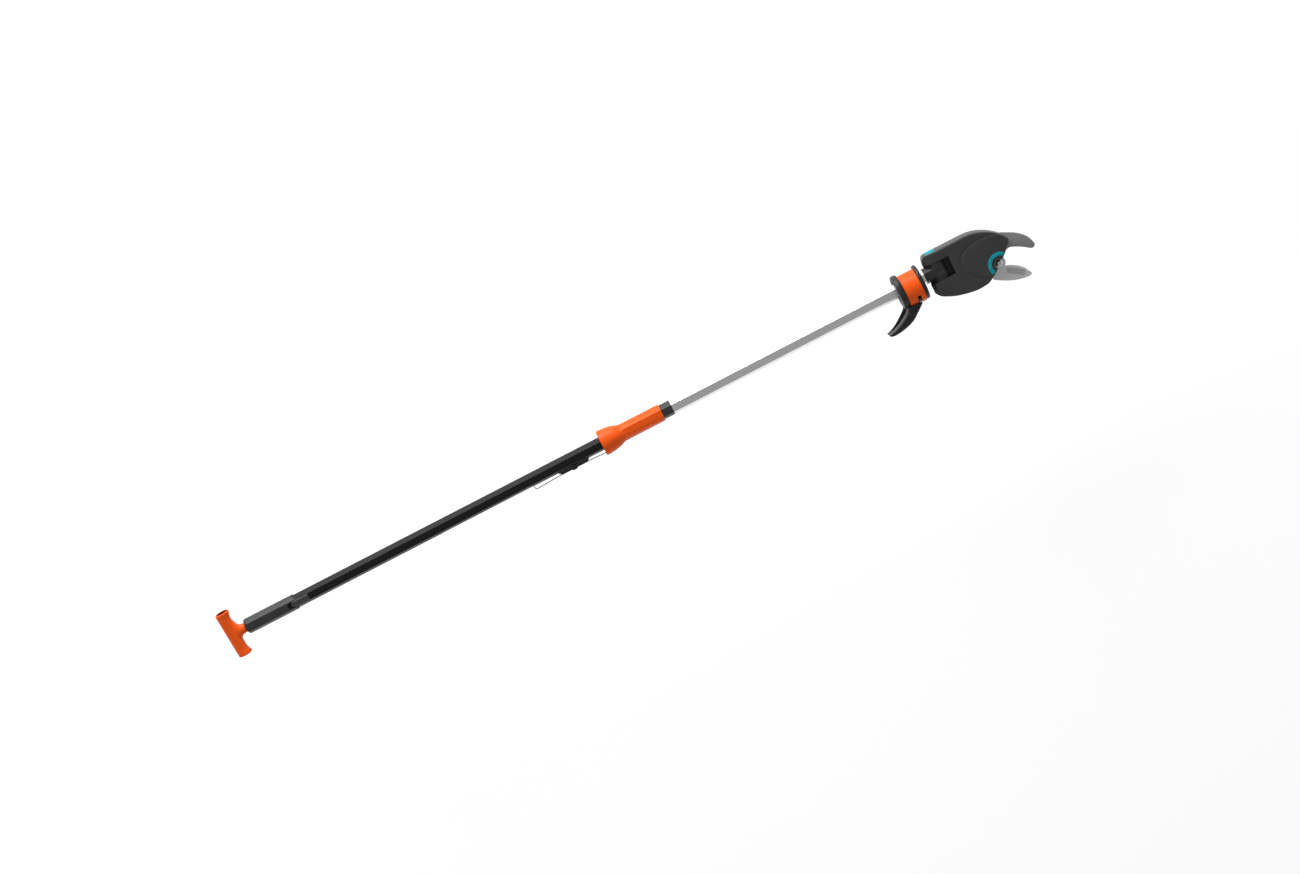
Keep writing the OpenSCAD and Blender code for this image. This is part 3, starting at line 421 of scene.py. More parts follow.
def rib_rise(x, first, pitch, count, height):
    """Rise at x of a row of rounded ribs."""
    offs = [(x - first - rib * pitch) / rib_half for rib in range(count)]
    return height * max(0, *(1 - off**2 for off in offs))


def ribbed(reach, rise):
    """A reach that rises in the middle of each facet."""
    return lambda angle: reach(angle) + rise * facet_middle(angle)


def scooped(x, depth):
    """An end that is drawn back in the middle of each facet."""
    return lambda angle: x - depth * facet_middle(angle)


rings = [(grip_back, plug_hole)]
for step in range(7):
    turn = math.radians(15 * step)
    flats = grip_flats - 2 * grip_round * (1 - math.sin(turn))
    corner = grip_corner - 1.2 * mm * (1 - math.sin(turn))
    rings.append((grip_back + grip_round * (1 - math.cos(turn)), hexagon(flats, corner)))
outer = hexagon(grip_flats, grip_corner)
for x in [40, 60, 80, 95] + [96.4 + 0.4 * step for step in range(48)] + [118, 122]:
    rise = rib_rise(x * mm, grip_rib_first, grip_rib_pitch, 4, grip_rib_height)
    rings.append((x * mm, ribbed(outer, rise)))
lip = 0.5 * mm
bore = hexagon(tube_flats + 2 * sleeve_fit, tube_corner)
rings += [
    (scooped(grip_front - lip, grip_scoop), outer),
    (scooped(grip_front, grip_scoop), hexagon(grip_flats - 2 * lip, grip_corner)),
    (scooped(grip_front, grip_scoop), bore),
    (grip_wall_inside, bore),
    (grip_wall_inside, plug_hole),
    (grip_back, plug_hole),
]
grip = push_rings("grip_moulding", 144, rings)
notch = block("notch", (notch_back, -latch_half, 10.2 * mm), (140 * mm, latch_half, 20 * mm))


def upright(start, end):
    """True for an edge that stands square to the front of the pole."""
    return abs(start.z - end.z) > 1 * mm


bevel_where(notch, lambda start, end: upright(start, end) and start.x < notch_back + 1 * mm, notch_end, 8)
combine(grip, notch, "DIFFERENCE")
soften(grip)
grip_plastic = moulded_plastic("grip_plastic", grip_grey, grip_deep, 0.42, shine=0.35)
fit(grip, "pole", "grip_plastic", grip_plastic, "grip_sleeve")

# Stem bush
# Plain white bearing, pressed into the end of the tube under the grip. It guides the plug of the T-handle.
white = (0.74, 0.73, 0.69)
white_deep = (0.66, 0.65, 0.6)
bearing_plastic = moulded_plastic("bearing_plastic", white, white_deep, 0.4, 900)
dress(bearing_plastic, "stem_bush")

# Grip latch
# Black moulded tongue that slides along the front of the grip and the tube. Three ribs along its top
# give the thumb a hold, and a foot through the tube holds it down.
latch_low, latch_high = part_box("grip_latch")
latch_top = 14.45 * mm
latch_base = 11.45 * mm
latch_edge = 1.2 * mm
latch_tip = 5 * mm
latch_grey = (0.042, 0.042, 0.0425)
latch_deep = (0.033, 0.033, 0.0335)
tongue_low = (latch_low.x, latch_low.y, latch_base)
latch = block("latch_tongue", tongue_low, (latch_high.x, latch_high.y, latch_top))
bevel_where(latch, lambda start, end: upright(start, end) and start.x < latch_low.x + 1 * mm, latch_tip, 8)
bevel_where(latch, lambda start, end: min(start.z, end.z) > latch_top - 0.01 * mm, latch_edge, 4)
for middle in (-3.1 * mm, 0, 3.1 * mm):
    rib_low = (latch_low.x + 4 * mm, middle - 0.8 * mm, latch_base + 1 * mm)
    rib = block("thumb_rib", rib_low, (latch_high.x - 4 * mm, middle + 0.8 * mm, latch_high.z), 0.55 * mm)
    combine(latch, rib, "UNION")
foot = block("foot", (139.5 * mm, -1.5 * mm, 9.2 * mm), (146 * mm, 1.5 * mm, 12 * mm))
combine(latch, foot, "UNION")
sole_top = latch_low.z + 1.5 * mm
sole = block("sole", (139 * mm, -4 * mm, latch_low.z), (147 * mm, 4 * mm, sole_top), 0.3 * mm)
combine(latch, sole, "UNION")
soften(latch, 40)
latch_plastic = moulded_plastic("latch_plastic", latch_grey, latch_deep, 0.4)
fit(latch, "latch", "black_plastic", latch_plastic, "grip_latch")

# T-handle
# Orange moulded handle: a hollow bar for the fist, narrowed towards the pole and leaning a little, with a
# stem that runs into it in one sweep. The plug on the stem holds the end of the cord and sits in the tube.
bar_half = 43.5 * mm
bar_reach = 13.3 * mm
bar_bore = 10.5 * mm
bar_waist = 3.6 * mm
bar_flare = 15 * mm
waist_bore = 9.1 * mm
waist_shift = -1.4 * mm
bar_lean = math.radians(2)
bar_shift = 3 * mm
mould_cell = 0.6 * mm
orange = (0.94, 0.112, 0.006)
orange_deep = (0.88, 0.095, 0.004)


def waisted(y):
    """Reach of the bar at y: round, but drawn in on the side of the stem."""
    part = min(1, (bar_half - abs(y)) / bar_flare)
    depth = bar_waist * part**2 * (3 - 2 * part)

    def reach(angle):
        return bar_reach - depth * (0.5 + 0.5 * math.sin(angle)) ** 1.5

    return reach


def off_centre(angle):
    """Reach of the hollow where the bar is drawn in: a smaller circle that keeps the wall even."""
    return waist_shift * math.sin(angle) + math.sqrt(waist_bore**2 - (waist_shift * math.cos(angle)) ** 2)


def sweep(upward, downward, sideways):
    """Reach of the stem where it runs into the bar: longest upwards and narrow at the sides."""

    def reach(angle):
        lengthwise = upward if math.cos(angle) > 0 else downward
        return mm / math.hypot(math.cos(angle) / lengthwise, math.sin(angle) / sideways)

    return reach


lean_bar = Matrix.Translation((bar_shift, 0, 0)) @ Matrix.Rotation(bar_lean, 4, "Z")
rings = [(-bar_half, bar_reach - 1 * mm)]
for step in range(-42, 43, 2):
    rings.append((step * mm, waisted(step * mm)))
rings.append((bar_half, bar_reach - 1 * mm))
tee = push_rings("t_handle_moulding", 96, rings, axis="Y", ends="CAP")
tee.data.transform(lean_bar)
stem_rings = [
    (7, (27, 19, 10.4)), (11.5, (27, 19, 10.2)), (12.5, (23, 16.5, 10.1)), (14, (18, 13.6, 9.9)),
    (16, (13.4, 11.2, 9.6)), (18, (10.9, 9.9, 9.3)), (21, (9.3, 9.2, 9)), (24, (8.9, 8.9, 8.9)),
    (27, (8.8, 8.8, 8.8)), (27, (7, 7, 7)), (46, (7, 7, 7))
]
stem = push_rings("stem", 96, [(x * mm, sweep(*reaches)) for x, reaches in stem_rings], ends="CAP")
combine(tee, stem, "UNION")
hollow_rings = [(-2 * bar_half, bar_bore), (4 * mm - bar_half, bar_bore), (bar_flare - bar_half, off_centre)]
hollow_rings += [(-place, reach) for place, reach in reversed(hollow_rings)]
hollow = push_rings("hollow", 96, hollow_rings, axis="Y", ends="CAP")
hollow.data.transform(lean_bar)
combine(tee, hollow, "DIFFERENCE")
shape_with(tee, "REMESH", mode="VOXEL", voxel_size=mould_cell)
shape_with(tee, "SMOOTH", factor=0.5, iterations=8)
soften(tee, 60)


def tint_where(material, mask, colour):
    """Turns a finish to another colour by a mask."""
    tree = material.node_tree
    shader = tree.nodes["Principled BSDF"]
    plain = shader.inputs["Base Color"].links[0].from_socket
    feed(tree, shader, {"Base Color": mix(tree, mask, plain, colour)})


def tint_by(material, mark, colour):
    """Turns a finish to another colour by a mark on the points of its mesh."""
    marked = add_node(material.node_tree, "Attribute", attribute_name=mark)
    tint_where(material, marked.outputs["Fac"], colour)


# Painted shade: points on the wall inside the hollow bar are marked, and the finish turns nearly black there,
# standing in for the shade inside the bore.
straighten = lean_bar.inverted()
painted_bore_shade = tee.data.attributes.new("painted_bore_shade", "FLOAT", "POINT")
for point, mark in zip(tee.data.vertices, painted_bore_shade.data):
    place = straighten @ point.co
    facing = (straighten.to_3x3() @ point.normal).dot(Vector((place.x, 0, place.z)).normalized())
    mark.value = 0.85 * max(0, -facing)
tee_plastic = moulded_plastic("tee_plastic", orange, orange_deep, 0.4, shine=0.2)
tint_by(tee_plastic, "painted_bore_shade", (0.01, 0.002, 0.001))
fit(tee, "t_handle", "orange_plastic", tee_plastic, "t_handle")


# Draw cord
# Braided cord along the inside of the pole, pinned into the plug of the T-handle. It shows only where the
# handle is pulled out.
def place_on(tree):
    """The place on the piece, as its X, Y and Z."""
    place = add_node(tree, "TexCoord").outputs["Object"]
    return add_node(tree, "SeparateXYZ", {0: place}).outputs


def braided_cord():
    """Two sets of strands that wind round the cord in opposite directions and cross."""
    material, tree, shader = new_material("cord_braid")
    place = place_on(tree)
    wound = calc(tree, "MULTIPLY", calc(tree, "ARCTAN2", place["Z"], place["Y"]), 4.0)
    strands = []
    for lead in (1800.0, -1800.0):
        strands.append(calc(tree, "SINE", calc(tree, "MULTIPLY_ADD", place["X"], lead, wound)))
    top = calc(tree, "MAXIMUM", *strands)
    # Painted shade: the crevices between the strands are coloured darker than the strand tops.
    tint = mix(tree, top, (0.01, 0.01, 0.01, 1), (0.05, 0.05, 0.05))
    bump = raised(tree, top, 0.6, 0.2 * mm)
    feed(tree, shader, {"Base Color": tint, "Roughness": 0.85, "Normal": bump})
    return material


cord_low, cord_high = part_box("draw_cord")
cord_reach = (cord_high.z - cord_low.z) / 2
cord_step = 20 * mm
cord_steps = int((cord_high.x - cord_low.x) / cord_step) + 1
cord_rings = [(cord_low.x + step * cord_step, cord_reach) for step in range(cord_steps)]
cord_rings.append((cord_high.x, cord_reach))
cord = push_rings("draw_cord_braid", 16, cord_rings, ends="CAP")
cord_braid = braided_cord()
fit(cord, "t_handle", "cord", cord_braid, "draw_cord")
steel_grey = (0.72, 0.72, 0.73)
steel_streak = (0.56, 0.56, 0.57)
bright_steel = drawn_metal("bright_steel", steel_grey, steel_streak, 1.0, 0.24, 1600, 0.1, 0.06)
dress(bright_steel, "cord_anchor_pin")

# Slide handle
# Orange moulded handle that slides on the lower tube: a six-sided grip with a bead along each edge and
# three finger ribs, swelling to a round bell at the back.
handle_back = 739.75 * mm
handle_front = 860.75 * mm
handle_flats = 28.74 * mm
handle_corner = 3 * mm
bell_reach = 23.7 * mm
bell_wall = 2.2 * mm
bell_depth = 14 * mm
bell_groove = 0.3 * mm
bead_height = 0.6 * mm
handle_rib_first = 101.3 * mm
handle_rib_pitch = 5 * mm
handle_rib_height = 0.9 * mm
handle_bore = 23.9 * mm
bush_seat = 25.54 * mm
front_seat_depth = 16 * mm
back_seat_depth = 30 * mm
bell_profile = [(0, 23.3), (1, 23.7), (13, 23.1), (21, 22), (31, 19.8), (38, 16.9), (44, 14.6), (52, 12.5)]


def smooth_through(points, x):
    """Height at x of a smooth curve through points, given from left to right."""
    for number in range(len(points) - 1):
        if x <= points[number + 1][0]:
            break
    before = points[max(number - 1, 0)]
    left, right = points[number], points[number + 1]
    after = points[min(number + 2, len(points) - 1)]
    span = right[0] - left[0]
    part = min(1, (x - left[0]) / span)
    slope_left = (right[1] - before[1]) / (right[0] - before[0]) * span
    slope_right = (after[1] - left[1]) / (after[0] - left[0]) * span
    return (
        left[1] * (1 - 3 * part**2 + 2 * part**3)
        + right[1] * (3 * part**2 - 2 * part**3)
        + slope_left * (part - 2 * part**2 + part**3)
        + slope_right * (part**3 - part**2)
    )


def handle_skin(x):
    """Reach of the handle at x from the rim of its bell: the larger of bell and grip, run together."""
    bell = smooth_through(bell_profile, min(x / mm, 52)) * mm
    grip_reach = hexagon(handle_flats, handle_corner)
    fade = min(1, max(0, (x / mm - 32) / 14)) * min(1, max(0, (119 - x / mm) / 3))
    spread = 2.4 + max(0, 54 - x / mm) * 0.3
    blend = 2.2 * mm
    bell -= bell_groove * math.exp(-(((x / mm - 12.5) / 0.5) ** 2))
    rise = rib_rise(x, handle_rib_first, handle_rib_pitch, 3, handle_rib_height)

    def reach(angle):
        off_edge = ((angle + math.radians(30)) % math.radians(60) - math.radians(30)) * 16
        bead = bead_height * fade * math.exp(-(((abs(off_edge) - spread) / (0.3 * spread)) ** 2))
        facet = facet_middle(angle) if abs(math.sin(angle)) < 0.8 else 0
        six = grip_reach(angle) - bead + rise * facet
        near = max(0, 1 - abs(bell - six) / blend)
        return max(bell, six) + 0.25 * blend * near**2

    return reach


skin_places = [0, 0.4, 1, 2, 4, 8, 11, 11.7, 12.1, 12.5, 12.9, 13.3, 14]
skin_places += [*range(15, 60, 2), *range(62, 98, 6)]
skin_places += [99 + 0.45 * step for step in range(40)] + [120.5]
rings = [(handle_back + x * mm, handle_skin(x * mm)) for x in skin_places]
seat = hexagon(bush_seat, tube_corner)
handle_inside = hexagon(handle_bore, tube_corner)
bell_inside = bell_reach - bell_wall
rings += [
    (handle_front, hexagon(handle_flats - 1 * mm, handle_corner)),
    (handle_front, seat),
    (handle_front - front_seat_depth, seat),
    (handle_front - front_seat_depth, handle_inside),
    (handle_back + back_seat_depth, handle_inside),
    (handle_back + back_seat_depth, seat),
    (handle_back + bell_depth, seat),
    (handle_back + bell_depth, bell_inside - 1 * mm),
    (handle_back + bell_depth - 1 * mm, bell_inside),
    (handle_back + 0.5 * mm, bell_inside),
    (handle_back, bell_inside + 0.5 * mm),
    (handle_back, handle_skin(0)),
]
handle = push_rings("slide_handle_moulding", 180, rings, sharp=40)
orange_plastic = moulded_plastic("orange_plastic", orange, orange_deep, 0.4, shine=0.2)
fit(handle, "slide_handle", "orange_plastic", orange_plastic, "slide_handle")
dress(bearing_plastic, "slide_bushes", "shuttle")

# Link wire and guide shoe
# Bright steel wire from the slide handle to the shuttle inside the tube, sprung towards the tube by a
# black guide shoe with a stop on it. Its far end is bent in through the slot.
shoe_low, shoe_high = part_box("wire_shoe")
shoe_bottom = -17.9 * mm
shoe_half = 2.2 * mm
shoe_ramp = 6 * mm
stop_back = 672.75 * mm
stop_front = 682.75 * mm
stop_bottom = -20.1 * mm
shoe = block("guide_shoe", (shoe_low.x, shoe_bottom, -shoe_half), (shoe_high.x, shoe_high.y, shoe_half))
for point in shoe.data.vertices:
    if point.co.y < shoe_bottom + 1 * mm:
        point.co.x += shoe_ramp if point.co.x < stop_back else -shoe_ramp
stop_low = (stop_back, stop_bottom, -shoe_half - 0.8 * mm)
stop = block("stop", stop_low, (stop_front, shoe_high.y - 1.2 * mm, shoe_half + 0.8 * mm), 1.4 * mm)
combine(shoe, stop, "UNION")
shape_with(shoe, "BEVEL", width=0.6 * mm, segments=3, limit_method="ANGLE", angle_limit=math.radians(40))
soften(shoe)
black = (0.022, 0.022, 0.0225)
black_deep = (0.015, 0.015, 0.0155)
black_plastic = moulded_plastic("black_plastic", black, black_deep, 0.42, shine=0.35)
fit(shoe, "slide_handle", "black_plastic", black_plastic, "wire_shoe")

wire_reach = 0.95 * mm
wire_x = 598.75 * mm
wire_y = -19.8 * mm
wire_bend = 4 * mm
wire_bow = [(625, -18.6), (646, -17.4), (655, -17.1), (700, -17.1)]
wire_bow += [(710, -17.3), (740, -18.6), (765.5, -19.2)]
wire_path = [(wire_x, -9 * mm), (wire_x, -13 * mm)]
for step in range(7):
    turn = math.radians(180 + 15 * step)
    aside, below = wire_bend * (1 + math.cos(turn)), wire_bend * (1 + math.sin(turn))
    wire_path.append((wire_x + aside, wire_y + below))
wire_path += [(x * mm, y * mm) for x, y in wire_bow]
wire = start_ring("bent_wire", 16, wire_reach)
for number, (x, y) in enumerate(wire_path):
    if number:
        bpy.ops.mesh.extrude_region_move()
    mesh = bmesh.from_edit_mesh(wire.data)
    layer = mesh.verts.layers.float.get("aside") or mesh.verts.layers.float.new("aside")
    before = wire_path[max(number - 1, 0)]
    after = wire_path[min(number + 1, len(wire_path) - 1)]
    heading = math.atan2(after[1] - before[1], after[0] - before[0])
    for point in mesh.verts:
        if point.select:
            if number == 0:
                point[layer] = point.co.x
                point.co.z = point.co.y
            point.co.x = x - point[layer] * math.sin(heading)
            point.co.y = y + point[layer] * math.cos(heading)
bmesh.update_edit_mesh(wire.data)
bpy.ops.mesh.select_all(action="SELECT")
bpy.ops.mesh.fill_holes(sides=0)
bpy.ops.mesh.normals_make_consistent(inside=False)
bpy.ops.object.mode_set(mode="OBJECT")
soften(wire)
wire_steel = drawn_metal("wire_steel", (0.46, 0.46, 0.465), (0.34, 0.34, 0.345), 1.0, 0.3, 1800)
fit(wire, "slide_handle", "bright_steel", wire_steel, "link_wire")

# Joint collar
# Dark grey six-sided ring that covers the end of the upper tube, where the lower tube goes into it.
joint_low, joint_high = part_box("joint_collar")
upper_flats = joint_high.z - joint_low.z
joint_lip = 0.5 * mm
joint_bore = hexagon(tube_flats + 2 * sleeve_fit, tube_corner)
rings = [
    (joint_low.x, joint_bore),
    (joint_low.x, hexagon(upper_flats - 2 * joint_lip, tube_corner)),
    (joint_low.x + joint_lip, hexagon(upper_flats, tube_corner)),
    (joint_high.x - joint_lip, hexagon(upper_flats, tube_corner)),
    (joint_high.x, hexagon(upper_flats - 2 * joint_lip, tube_corner)),
    (joint_high.x, joint_bore),
    (joint_low.x, joint_bore),
]
joint = push_rings("joint_sleeve", 144, rings, sharp=20)
fit(joint, "pole", "grip_plastic", grip_plastic, "joint_collar")

# Upper tube
# Six-sided tube of bare drawn aluminium, its colour darker along a thin strip at its upper and its lower
# corner.
aluminium = (0.86, 0.86, 0.865)
aluminium_streak = (0.74, 0.74, 0.75)
corner_line = 13.4 * mm
bare_aluminium = drawn_metal("bare_aluminium", aluminium, aluminium_streak, 1.0, 0.34, 1100, 0.1, 0.08)
tree = bare_aluminium.node_tree
off_axis = calc(tree, "ABSOLUTE", place_on(tree)["Y"])
limits = {"From Min": corner_line, "From Max": corner_line + 0.3 * mm, "To Max": 0.7}
at_corner = add_node(tree, "MapRange", {"Value": off_axis, **limits})
tint_where(bare_aluminium, at_corner.outputs[0], (0.1, 0.1, 0.1))
dress(bare_aluminium, "upper_tube")

# Hook collar
# Black moulded bobbin on the upper tube, a little lower than its axis: two flanges, a hub for the band and
# a pocket for the eye of the hook, with a well above it on each side. Its back face is dished round the tube.
collar_back = 1330 * mm
collar_front = 1380.5 * mm
band_back = 1342 * mm
band_front = 1373.5 * mm
flange_reach = 32.7 * mm
flange_shift = -5 * mm
hub_reach = 24.6 * mm
hub_shift = -8 * mm
slot_x = 1360.8 * mm
slot_half = 3.5 * mm
hook_pin_y = -32 * mm
hook_axis = (slot_x, hook_pin_y, 0)
lug_half = 9.25 * mm
pocket_reach = 5 * mm
well_half = 3.3 * mm
well_low = -29.6 * mm
well_high = -19.6 * mm
rear_round = 4.2 * mm
front_round = 2.6 * mm
collar_bore = hexagon(upper_flats + 2 * sleeve_fit, tube_corner)


def lugged(angle):
    """Reach of the hub at the slot of the band, with a lug on each side of the hook's eye."""
    side = abs(math.degrees(math.atan2(math.sin(angle), math.cos(angle))))
    return 30 * mm if 122 < side < 161.5 else hub_reach


def flange_edge(x, rounding):
    """Rings round the edge of a flange whose face is at x, rounded towards the other face."""
    edge = []
    for step in range(7):
        turn = math.radians(15 * step)
        inset = abs(rounding) * (1 - math.sin(turn))
        edge.append((x + rounding * (1 - math.cos(turn)), flange_reach - inset, flange_shift))
    return edge


def rod(name, count, reach, start, end, axis="X", centre=(0, 0, 0), shift=0):
    """A plain round bar with closed ends, to cut or to add."""
    return push_rings(name, count, [(start, reach, shift), (end, reach, shift)], axis, centre, "CAP")


rings = [(collar_back + 5 * mm, collar_bore)]
for x, reach, shift in [(5, 16.2, 0), (3.9, 18, -0.6), (2, 22, -2), (0.6, 26, -3.6)]:
    rings.append((collar_back + x * mm, reach * mm, shift * mm))
rings += flange_edge(collar_back, rear_round)
rings += reversed(flange_edge(band_back, -rear_round))
rings += [
    (band_back, hub_reach, hub_shift),
    (slot_x - slot_half, hub_reach, hub_shift),
    (slot_x - slot_half, lugged, hub_shift),
    (slot_x + slot_half, lugged, hub_shift),
    (slot_x + slot_half, hub_reach, hub_shift),
    (band_front, hub_reach, hub_shift),
]
rings += flange_edge(band_front, front_round)
rings += reversed(flange_edge(collar_front, -front_round))
rings += [(collar_front, collar_bore), (collar_back + 5 * mm, collar_bore)]
collar = push_rings("collar_moulding", 180, rings)
combine(collar, rod("pocket", 48, pocket_reach, -lug_half, lug_half, "Z", hook_axis), "DIFFERENCE")
for side in (-1, 1):
    near, far = sorted((side * 4 * mm, side * 32 * mm))
    well = block("well", (slot_x - well_half, well_low, near), (slot_x + well_half, well_high, far))
    combine(collar, well, "DIFFERENCE")
soften(collar)
fit(collar, "pole", "black_plastic", black_plastic, "hook_collar")
dark_grey = (0.2, 0.2, 0.21)
dark_streak = (0.12, 0.12, 0.125)
dark_steel = drawn_metal("dark_steel", dark_grey, dark_streak, 1.0, 0.36, 1400, 0.12, 0.08)
dress(dark_steel, "collar_screw")

# Collar band
# Orange moulded band between the flanges, with a slot at the bottom for the eye of the hook.
band_reach = 30.5 * mm
band_lip = 0.6 * mm
slot_top = -20.2 * mm
rings = [
    (band_back, hub_reach),
    (band_back, band_reach - band_lip),
    (band_back + band_lip, band_reach),
    (band_front - band_lip, band_reach),
    (band_front, band_reach - band_lip),
    (band_front, hub_reach),
    (band_back, hub_reach),
]
band = push_rings("band_moulding", 180, [(*ring, hub_shift) for ring in rings])
slot_low = (slot_x - slot_half, -80 * mm, -40 * mm)
slot = block("slot", slot_low, (slot_x + slot_half, slot_top, 40 * mm), 0.6 * mm)
combine(band, slot, "DIFFERENCE")
soften(band)
fit(band, "pole", "orange_plastic", orange_plastic, "collar_band")

# Branch hook
# Black moulded hook, a channel that opens towards the pole, wide at the root and closed at its tip, with
# bevelled rims and two sunk panels on each side. The eye at its root turns on a pin in the band's slot.
hook_rim = 5 * mm
hook_bevel = 4.6 * mm
hook_floor = 3.2 * mm
eye_reach = 3.25 * mm
eye_half = 9 * mm
collar_gap = 0.25 * mm
hook_swing = math.radians(30)
hook_spine = [
    ((-29, 0.8), (1.8, -3.8), 21), ((-29.9, -2.2), (-5, -9.6), 21), ((-31.2, -4.8), (-12, -15), 21),
    ((-33.2, -7.2), (-18.3, -20), 20.8), ((-37.8, -11), (-24, -24.6), 20),
    ((-44, -15.6), (-31.5, -28.8), 18.6), ((-51, -20.2), (-40.5, -32.4), 16.4),
    ((-58.6, -24.3), (-50.5, -35.4), 13.8), ((-66, -27.4), (-60.5, -37.3), 11.4),
    ((-72.8, -29.4), (-69, -38.1), 9.4), ((-78, -30.4), (-75.4, -36.4), 8)
]
rib_station = 3
tip_station = 9
rim_corners = (2, 3, 4, 7, 8, 9)
end_faces = [(0, 5, 6, 11), (0, 1, 2, 5), (2, 3, 4, 5), (11, 10, 9, 6), (9, 8, 7, 6)]
hook = start_ring("hook_moulding", 12)
mesh = bmesh.from_edit_mesh(hook.data)
for name in ("corner", "station"):
    mesh.verts.layers.int.new(name)
for name in ("rim", "panel"):
    mesh.verts.layers.float.new(name)
bmesh.update_edit_mesh(hook.data)
for number, (inner, outer_edge, half_width) in enumerate(hook_spine):
    if number:
        bpy.ops.mesh.extrude_region_move()
    mesh = bmesh.from_edit_mesh(hook.data)
    corner = mesh.verts.layers.int["corner"]
    station = mesh.verts.layers.int["station"]
    rim_highlight_mark = mesh.verts.layers.float["rim"]
    ring = [point for point in mesh.verts if point.select]
    if number == 0:
        for place, point in enumerate(ring):
            point[corner] = place
            point[rim_highlight_mark] = 1.0 if place in rim_corners else 0.0
    inner = Vector(inner) * mm
    outer_edge = Vector(outer_edge) * mm
    depth = (inner - outer_edge).length
    half = half_width * mm
    rim = min(hook_rim, half - 3 * mm)
    bevel = min(hook_bevel, rim - 0.5 * mm, depth - 3 * mm)
    floor_at = hook_floor
    if number >= tip_station:
        floor_at = depth - (0.6 * mm if number > tip_station else 2.2 * mm)
    near_wall = [
        (0, half), (depth - bevel, half), (depth - 0.45 * bevel, half - 0.42 * bevel),
        (depth, half - bevel), (depth, half - rim), (floor_at, half - rim)
    ]
    section = near_wall + [(away, -z) for away, z in reversed(near_wall)]
    for point in ring:
        point[station] = number
        away, z = section[point[corner]]
        place = outer_edge + (inner - outer_edge) * away / depth
        point.co = (slot_x + place.x, hook_pin_y + place.y, z)
    if number in (0, len(hook_spine) - 1):
        for corners in end_faces:
            for point in ring:
                point.select = point[corner] in corners
            mesh.select_flush_mode()
            bpy.ops.mesh.edge_face_add()
        for point in ring:
            point.select = True
        mesh.select_flush_mode()
bmesh.update_edit_mesh(hook.data)
bpy.ops.mesh.select_all(action="SELECT")
bpy.ops.mesh.normals_make_consistent(inside=False)
for corners in ((0, 1), (10, 11)):
    for first, last in ((0, rib_station), (rib_station, tip_station)):
        mesh = bmesh.from_edit_mesh(hook.data)
        corner = mesh.verts.layers.int["corner"]
        station = mesh.verts.layers.int["station"]
        bpy.ops.mesh.select_all(action="DESELECT")
        for face in mesh.faces:
            on_side = all(point[corner] in corners for point in face.verts)
            span = {point[station] for point in face.verts}
            if on_side and len(span) > 1 and first <= min(span) and max(span) <= last:
                face.select = True
        bmesh.update_edit_mesh(hook.data)
        bpy.ops.mesh.inset(thickness=1.3 * mm)
        bpy.ops.mesh.inset(thickness=0.5 * mm, depth=-0.9 * mm)
        mesh = bmesh.from_edit_mesh(hook.data)
        panel_mark = mesh.verts.layers.float["panel"]
        for point in mesh.verts:
            if point.select:
                point[panel_mark] = 1.0
        bmesh.update_edit_mesh(hook.data)
bpy.ops.object.mode_set(mode="OBJECT")
shape_with(hook, "BEVEL", width=0.8 * mm, segments=2, limit_method="ANGLE", angle_limit=math.radians(60))
shape_with(hook, "SUBSURF", levels=2, render_levels=2)
tool_start = collar_back - collar_gap
tool_end = band_back + collar_gap
flange_tool = rod("flange_tool", 180, flange_reach + collar_gap, tool_start, tool_end, shift=flange_shift)
combine(hook, flange_tool, "DIFFERENCE")
tool_end = slot_x + 2 * slot_half
pin_place = Matrix.Translation(hook_axis)
for turn in (0, -hook_swing):
    band_tool = rod("band_tool", 180, band_reach + collar_gap, band_back, tool_end, shift=hub_shift)
    band_tool.data.transform(pin_place @ Matrix.Rotation(turn, 4, "Z") @ pin_place.inverted())
    combine(hook, band_tool, "DIFFERENCE")
eye = rod("eye", 48, eye_reach, -eye_half, eye_half, "Z", hook_axis)
web_low = (slot_x - eye_reach, hook_pin_y - 8.5 * mm, -eye_half)
combine(eye, block("web", web_low, (slot_x - 0.7 * mm, hook_pin_y, eye_half)), "UNION")
combine(hook, eye, "UNION")
soften(hook, 45)
hook_black = (0.032, 0.032, 0.0325)
hook_deep = (0.024, 0.024, 0.0245)
hook_plastic = moulded_plastic("hook_plastic", hook_black, hook_deep, 0.42, shine=0.35)
# Painted shade and painted highlight: the sunk panels are coloured darker and the bevelled rims lighter,
# standing in for how light and shade pick them out.
tint_by(hook_plastic, "panel", (0.014, 0.014, 0.0145))
tint_by(hook_plastic, "rim", (0.085, 0.085, 0.086))
fit(hook, "hook", "black_plastic", hook_plastic, "branch_hook")

# Hook pin
# Bright steel rivet with low domed heads, through the lugs of the collar and the eye of the hook.
pin_low, pin_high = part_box("hook_pin")
pin_reach = (pin_high.x - pin_low.x) / 2
rivet_reach = 3.1 * mm
head_rings = [(pin_high.z - 0.9 * mm, pin_reach), (pin_high.z - 0.9 * mm, rivet_reach)]
head_rings += [(pin_high.z - 0.4 * mm, rivet_reach - 0.1 * mm), (pin_high.z, rivet_reach - 1.1 * mm)]
rings = [(-place, reach) for place, reach in reversed(head_rings)] + head_rings
rivet = push_rings("hook_rivet", 48, rings, "Z", hook_axis, "CAP")
fit(rivet, "pole", "bright_steel", bright_steel, "hook_pin")

# Neck
# Black moulded block on the end of the upper tube, six-sided, with an upright barrel that the head turns
# on. Short index marks are cut into the barrel's edges, and a felt wiper closes the cord's slot in it.
barrel_reach = 15.5 * mm
barrel_half = 17.2 * mm
mark_half = 0.35 * mm
mark_depth = 0.5 * mm
wiper_half = 2.05 * mm
wiper_reach = barrel_reach - 0.15 * mm
swivel = (swivel_x, 0, 0)


